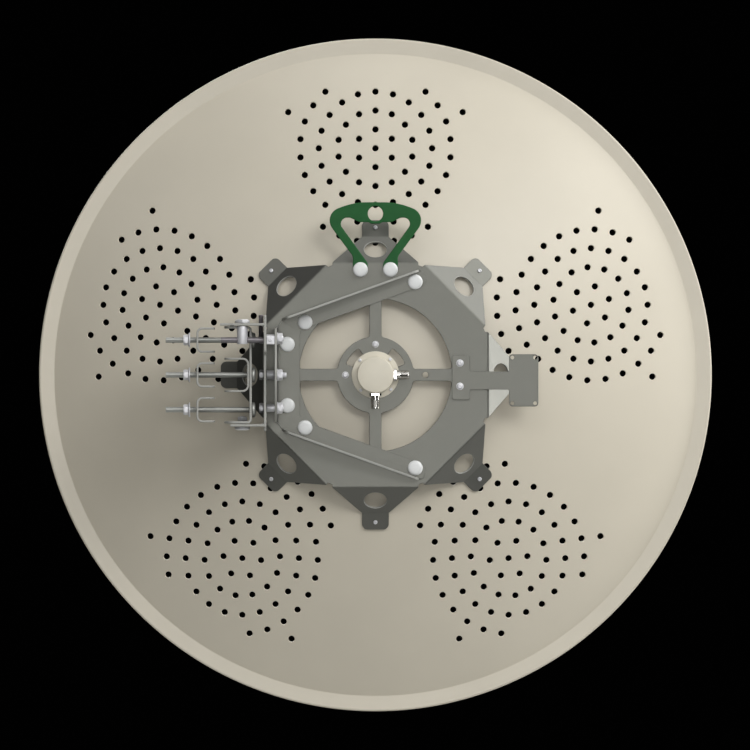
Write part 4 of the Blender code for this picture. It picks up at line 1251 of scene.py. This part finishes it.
def make_clamp_bolts():
    """Long bolts: domed head, a shallow thread all along and a flange nut near its end."""
    seat = WEB_X + BRACKET_THICK + GAP
    nut_low, nut_high = NUT_X
    nut_seat = nut_high - NUT_FLANGE_THICK
    axis = towards((0, 0, 0), (1, 0, 0))
    bolt = make_mesh("clamp_bolt", "steel", [
        (add_thread, axis, ROD_LEFT_X, seat + OVERLAP, BOLT_R, 20, PITCH, SHALLOW),
        (add_turned, axis, domed_rings(seat, BOLT_HEAD_R, HEAD_HIGH), 48),
    ], 40)
    nut = make_mesh("flange_nut", "zinc", [
        (add_turned, axis, nut_rings(nut_seat, -1, NUT[0], nut_seat - nut_low)),
        (add_turned, axis, [(nut_high - down, radius) for down, radius in NUT_FLANGE], 36),
    ], 30)
    for side, side_name in ((-1, "back"), (1, "front")):
        for level, level_name in ((1, "top"), (0, "middle"), (-1, "bottom")):
            name = f"{side_name}_{level_name}"
            at = (0, side * ROD_Y, level * ROD_PITCH)
            node = f"clamp_bolt_{name}"
            link_piece(node + "_made", bolt, "pole_clamp", node, at)
            link_piece(f"flange_nut_{name}", nut, "pole_clamp", None, at)


def make_azimuth_pivots():
    outer = YOKE_HALF_Z + GAP
    inner = BRACKET_HALF_Z - BRACKET_THICK - GAP
    for name, up in (("azimuth_pivot_top", 1), ("azimuth_pivot_bottom", -1)):
        axis = towards((AZIMUTH_X, 0, 0), (0, 0, up))
        parts = bolt_parts(axis, inner, outer, HEAD_HIGH)
        add_piece(None, "zinc", "pole_clamp", name, parts)


def plan_space(z):
    """A level plate: u is X from the azimuth axis, v is Y, depth is down from z."""
    return lambda u, v, depth: (AZIMUTH_X + u, v, z - depth)


def yoke_plan(tip, has_ear):
    """Outline of a level yoke plate, with the round bay that clears the pole."""
    pole = POLE_X - AZIMUTH_X
    web = YOKE_WEB_X - AZIMUTH_X + SUNK
    bay = arc((pole, BAY_SHIFT), BAY_R, pi / 2, 0, 12)
    bay += arc((pole, -BAY_SHIFT), BAY_R, 0, -pi / 2, 12)
    bay = [(x, y) for x, y in bay if x > tip + BAY_START]
    mouth = abs(bay[0][1])
    outline = [(web, YOKE_HALF_Y), (tip, YOKE_HALF_Y), (tip, mouth), *bay, (tip, -mouth),
               (tip, -YOKE_HALF_Y)]
    if has_ear:
        ear_x = EAR_X - AZIMUTH_X
        return outline + [(ear_x, -YOKE_HALF_Y), (ear_x, YOKE_EAR_Y), (web, YOKE_EAR_Y)]
    return outline + [(web, -YOKE_HALF_Y)]


def make_yoke():
    top_tip, bottom_tip = YOKE_TOP_TIP_X - AZIMUTH_X, YOKE_BOTTOM_TIP_X - AZIMUTH_X
    holes = [
        circle((0, 0), sides=24),
        circle((0, ADJUSTER_Y), sides=24),
        circle((SET_SCREW_X - AZIMUTH_X, SET_SCREW_Y), SET_SCREW_R + GAP, 24),
    ]
    half, wide, ear = YOKE_WEB_HALF_Y, YOKE_HALF_Y, YOKE_EAR_Y
    top, bottom = YOKE_HALF_Z, -YOKE_HALF_Z
    web = rounded([
        (half, YOKE_WEB_TOP, 0.003), (-half, YOKE_WEB_TOP, 0.003), (-half, top, 0.002),
        (ear, top, 0), (ear, EAR_LOW_Z, 0.006), (-wide, EAR_LOW_Z, 0.004), (-wide, bottom, 0),
        (-half, bottom, 0.002), (-half, YOKE_WEB_BOTTOM, 0.003), (half, YOKE_WEB_BOTTOM, 0.003),
        (half, bottom, 0.002), (wide, bottom, 0), (wide, top, 0), (half, top, 0.002),
    ], 4)
    web_holes = [circle((0, z), sides=24) for z in (0, LOCK_TOP_R, -LOCK_BOTTOM_R)]
    web_holes.append(circle((ADJUSTER_Y, ADJUSTER_Z), ADJUSTER_R + GAP, 24))
    plates = [
        ([yoke_plan(top_tip, True), *holes], plan_space(top)),
        ([yoke_plan(bottom_tip, False), holes[0]], plan_space(bottom + YOKE_THICK)),
        ([web, *web_holes], lambda u, v, depth: (YOKE_WEB_X + depth, u, v)),
    ]
    add_piece("yoke_frame", "grey grey_cut", "yoke", "azimuth_yoke", [
        (add_sheet, loops, space, YOKE_THICK, ROLLED_EDGE, (), outline_wall)
        for loops, space in plates
    ])
    make_welds()


def make_welds():
    """Rippled beads in the corners between the yoke's web and its two plates."""
    x, z = YOKE_WEB_X - SUNK, YOKE_HALF_Z - YOKE_THICK - SUNK
    add_piece("yoke_welds", "grey", "yoke", None, [
        (add_thread, towards((x, 0, side * z), (0, 1, 0), "X"), low, high, *WELD)
        for side, low, high in WELDS
    ])


def make_adjuster():
    under, over = YOKE_HALF_Z - YOKE_THICK - GAP, YOKE_HALF_Z + GAP
    axis = towards((AZIMUTH_X, ADJUSTER_Y, 0), (0, 0, 1))
    add_piece(None, "zinc", "yoke", "adjuster_post", [
        (add_turned, axis, drum_rings(POST_LOW, under, POST_R, DRUM_EDGE), 36),
        (add_turned, axis, [(under - OVERLAP, SHANK_R), (over + OVERLAP, SHANK_R)]),
        (add_turned, axis, nut_rings(over, 1, *POST_NUT)),
    ])
    left, right = (corner.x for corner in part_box("adjuster_screw"))
    along = towards((0, ADJUSTER_Y, ADJUSTER_Z), (1, 0, 0))
    add_piece(None, "dark_steel", "yoke", "adjuster_screw",
              [(add_thread, along, left, right, ADJUSTER_R, 20, PITCH, SHALLOW)], 40)
    low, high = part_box("adjuster_block")
    corners = [(u, v, BLOCK_CORNER) for u, v in square((high.z - low.z) / 2)]
    loops = [rounded(corners, 4), circle((0, 0), ADJUSTER_R + GAP, 24)]
    add_piece(None, "zinc", "yoke", "adjuster_block", [
        (add_sheet, loops, lambda u, v, depth: (low.x + depth, ADJUSTER_Y + u, ADJUSTER_Z + v),
         high.x - low.x),
        screw((low.x + BLOCK_SCREW_AT, low.y, ADJUSTER_Z), BEHIND, BLOCK_SCREW, -SUNK),
    ])
    low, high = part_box("set_screw")
    upright = towards((SET_SCREW_X, SET_SCREW_Y, 0), (0, 0, 1))
    add_piece(None, "dark_steel", "yoke", "set_screw",
              [(add_thread, upright, low.z, high.z, SET_SCREW_R, 20, *SET_SCREW_THREAD)], 40)


def make_tilt_bolts():
    """Bolt, spacer, washer and nut of the level axis, and of the two arc slots."""
    web_low, web_high = YOKE_WEB_X - GAP, YOKE_WEB_X + YOKE_THICK + GAP
    plate_high = DISH_X + TILT_FOLD_X + GAP
    plate_low = plate_high - PLATE_THICK - 2 * GAP
    washer_high = plate_high + WASHER_THICK
    for name, (z, spacer_r, shank_r, long) in TILT_BOLTS.items():
        axis = towards((0, 0, z), (1, 0, 0))
        add_piece(None, "zinc", "yoke", name, [
            (add_turned, axis, nut_rings(web_low, -1, *WEB_NUT)),
            (add_turned, axis, [(web_low - SPARE, shank_r), (plate_high + 2 * SPARE, shank_r)]),
            (add_turned, axis, drum_rings(web_high, plate_low, spacer_r, EDGE), 36),
            (add_turned, axis, drum_rings(plate_high, washer_high, WASHER_R, WASHER_EDGE), 36),
            (add_turned, axis, nut_rings(washer_high, 1, *TILT_NUT)),
            (add_thread, axis, plate_high + TILT_NUT[1], plate_high + long, shank_r),
        ])


def make_floor():
    """A plain pale floor, well below the pole-mounted dish."""
    mesh = bpy.data.meshes.new("floor")
    corners = [(DISH_X + x, y, FLOOR_Z) for x, y in square(FLOOR_HALF)]
    mesh.from_pydata(corners, [], [(0, 1, 2, 3)])
    paint = finish("floor_paint", (0.46, 0.46, 0.445), 0.7, variation=0.02, blotch=0.4)
    mesh.materials.append(paint)
    put("floor", mesh)


def add_light(name, tilt, angle, spread, brightness):
    """A square soft box that faces the back plate. The camera doesn't see it."""
    tilt, angle = radians(tilt), radians(angle)
    side = sin(tilt)
    away = Vector((side * cos(angle), -cos(tilt), side * sin(angle)))
    light = bpy.data.lights.new(name, "AREA")
    light.shape = "SQUARE"
    light.size = spread * LIGHT_DISTANCE
    light.energy = light.size**2 * pi * brightness
    box = put(name, light)
    box.location = Vector((DISH_X, PLATE_Y, 0)) + away * LIGHT_DISTANCE
    box.rotation_euler = away.to_track_quat("Z", "Y").to_euler()
    box.visible_camera = False


def make_studio():
    for row in LIGHTS:
        add_light(*row)
    world = bpy.data.worlds.new("studio_dark")
    world.use_nodes = True
    world.node_tree.nodes["Background"].inputs["Color"].default_value = (0.0004, 0.0004, 0.0004, 1)
    bpy.context.scene.world = world
    bpy.context.scene.view_settings.view_transform = "Standard"


def make_camera():
    camera = bpy.data.cameras.new("camera")
    camera.type = "ORTHO"
    camera.ortho_scale = FRAME_WIDTH
    holder = put("camera", camera)
    holder.location = VIEW_CENTRE + CAMERA_BACK
    holder.rotation_euler = (pi / 2, 0, 0)
    bpy.context.scene.camera = holder


# Each finish with the slot that it stands for.
FINISHES = {
    "cream": (finish("cream_coat", (0.545, 0.502, 0.411), 0.40, variation=0.02, blotch=0.09,
                     spread=0.03, grain=0.0016, height=0.000012, specular=0.42), "reflector_paint"),
    "feed_paint": (finish("feed_coat", (0.60, 0.56, 0.46), 0.42, variation=0.03, blotch=0.02,
                          grain=0.0010), "feed_metal"),
    "grey": (finish("grey_coat", (0.058, 0.058, 0.053), 0.38, variation=0.05, blotch=0.03,
                    spread=0.008, grain=0.0010, height=0.000012, specular=0.75, ior=1.6,
                    shine=(1, 1, 0.88)), "bracket_paint"),
    # Lighter grey on the sheets' cut edges: partly worn paint, partly a painted highlight that
    # makes the thin edges show as bright lines.
    "grey_cut": (finish("worn_edge_and_highlight", (0.30, 0.30, 0.275), 0.45, 0.1, variation=0.06,
                        blotch=0.01, grain=0.0006), "bracket_paint"),
    "green": (finish("green_coat", (0.013, 0.090, 0.0235), 0.58, variation=0.08, blotch=0.02,
                     grain=0.0010, height=0.000015, specular=0.2), "handle_paint"),
    "zinc": (finish("zinc_plate", (0.63, 0.63, 0.645), 0.50, 0.45, variation=0.05, blotch=0.008,
                    spread=0.06, grain=0.0006), "bright_zinc"),
    "dull_zinc": (finish("dull_zinc", (0.66, 0.67, 0.66), 0.45, 0.10, variation=0.03,
                         blotch=0.006, grain=0.0006), "bright_zinc"),
    "steel": (finish("thread_steel", (0.36, 0.365, 0.34), 0.44, 0.6, variation=0.06,
                     blotch=0.006, spread=0.06, grain=0.0005), "thread_steel"),
    "dark_steel": (finish("dark_steel", (0.22, 0.205, 0.215), 0.44, 0.6, variation=0.08,
                          blotch=0.006, spread=0.06, grain=0.0005), "thread_steel"),
    "nickel": (finish("nickel_plate", (0.50, 0.49, 0.46), 0.16, 1.0, variation=0.03,
                      blotch=0.004, spread=0.04, grain=0.0004), "nickel"),
    "aluminium": (finish("turned_aluminium", (0.72, 0.72, 0.71), 0.34, 1.0, variation=0.02,
                         blotch=0.01, spread=0.03, grain=0.0008, height=0.000003,
                         stretch=(1, 8, 1)), "feed_metal"),
    "plastic": (finish("white_plastic", (0.78, 0.78, 0.75), 0.38, variation=0.02, blotch=0.02,
                       grain=0.0009), "white_plastic"),
}

make_camera()
make_studio()
make_floor()
make_reflector()
make_back_plate()
make_tilt_bracket()
make_handle()
make_carriage_bolts()
make_feed()
make_connectors()
make_radio_bracket()
make_channels()
make_clamp_bolts()
make_azimuth_pivots()
make_yoke()
make_adjuster()
make_tilt_bolts()
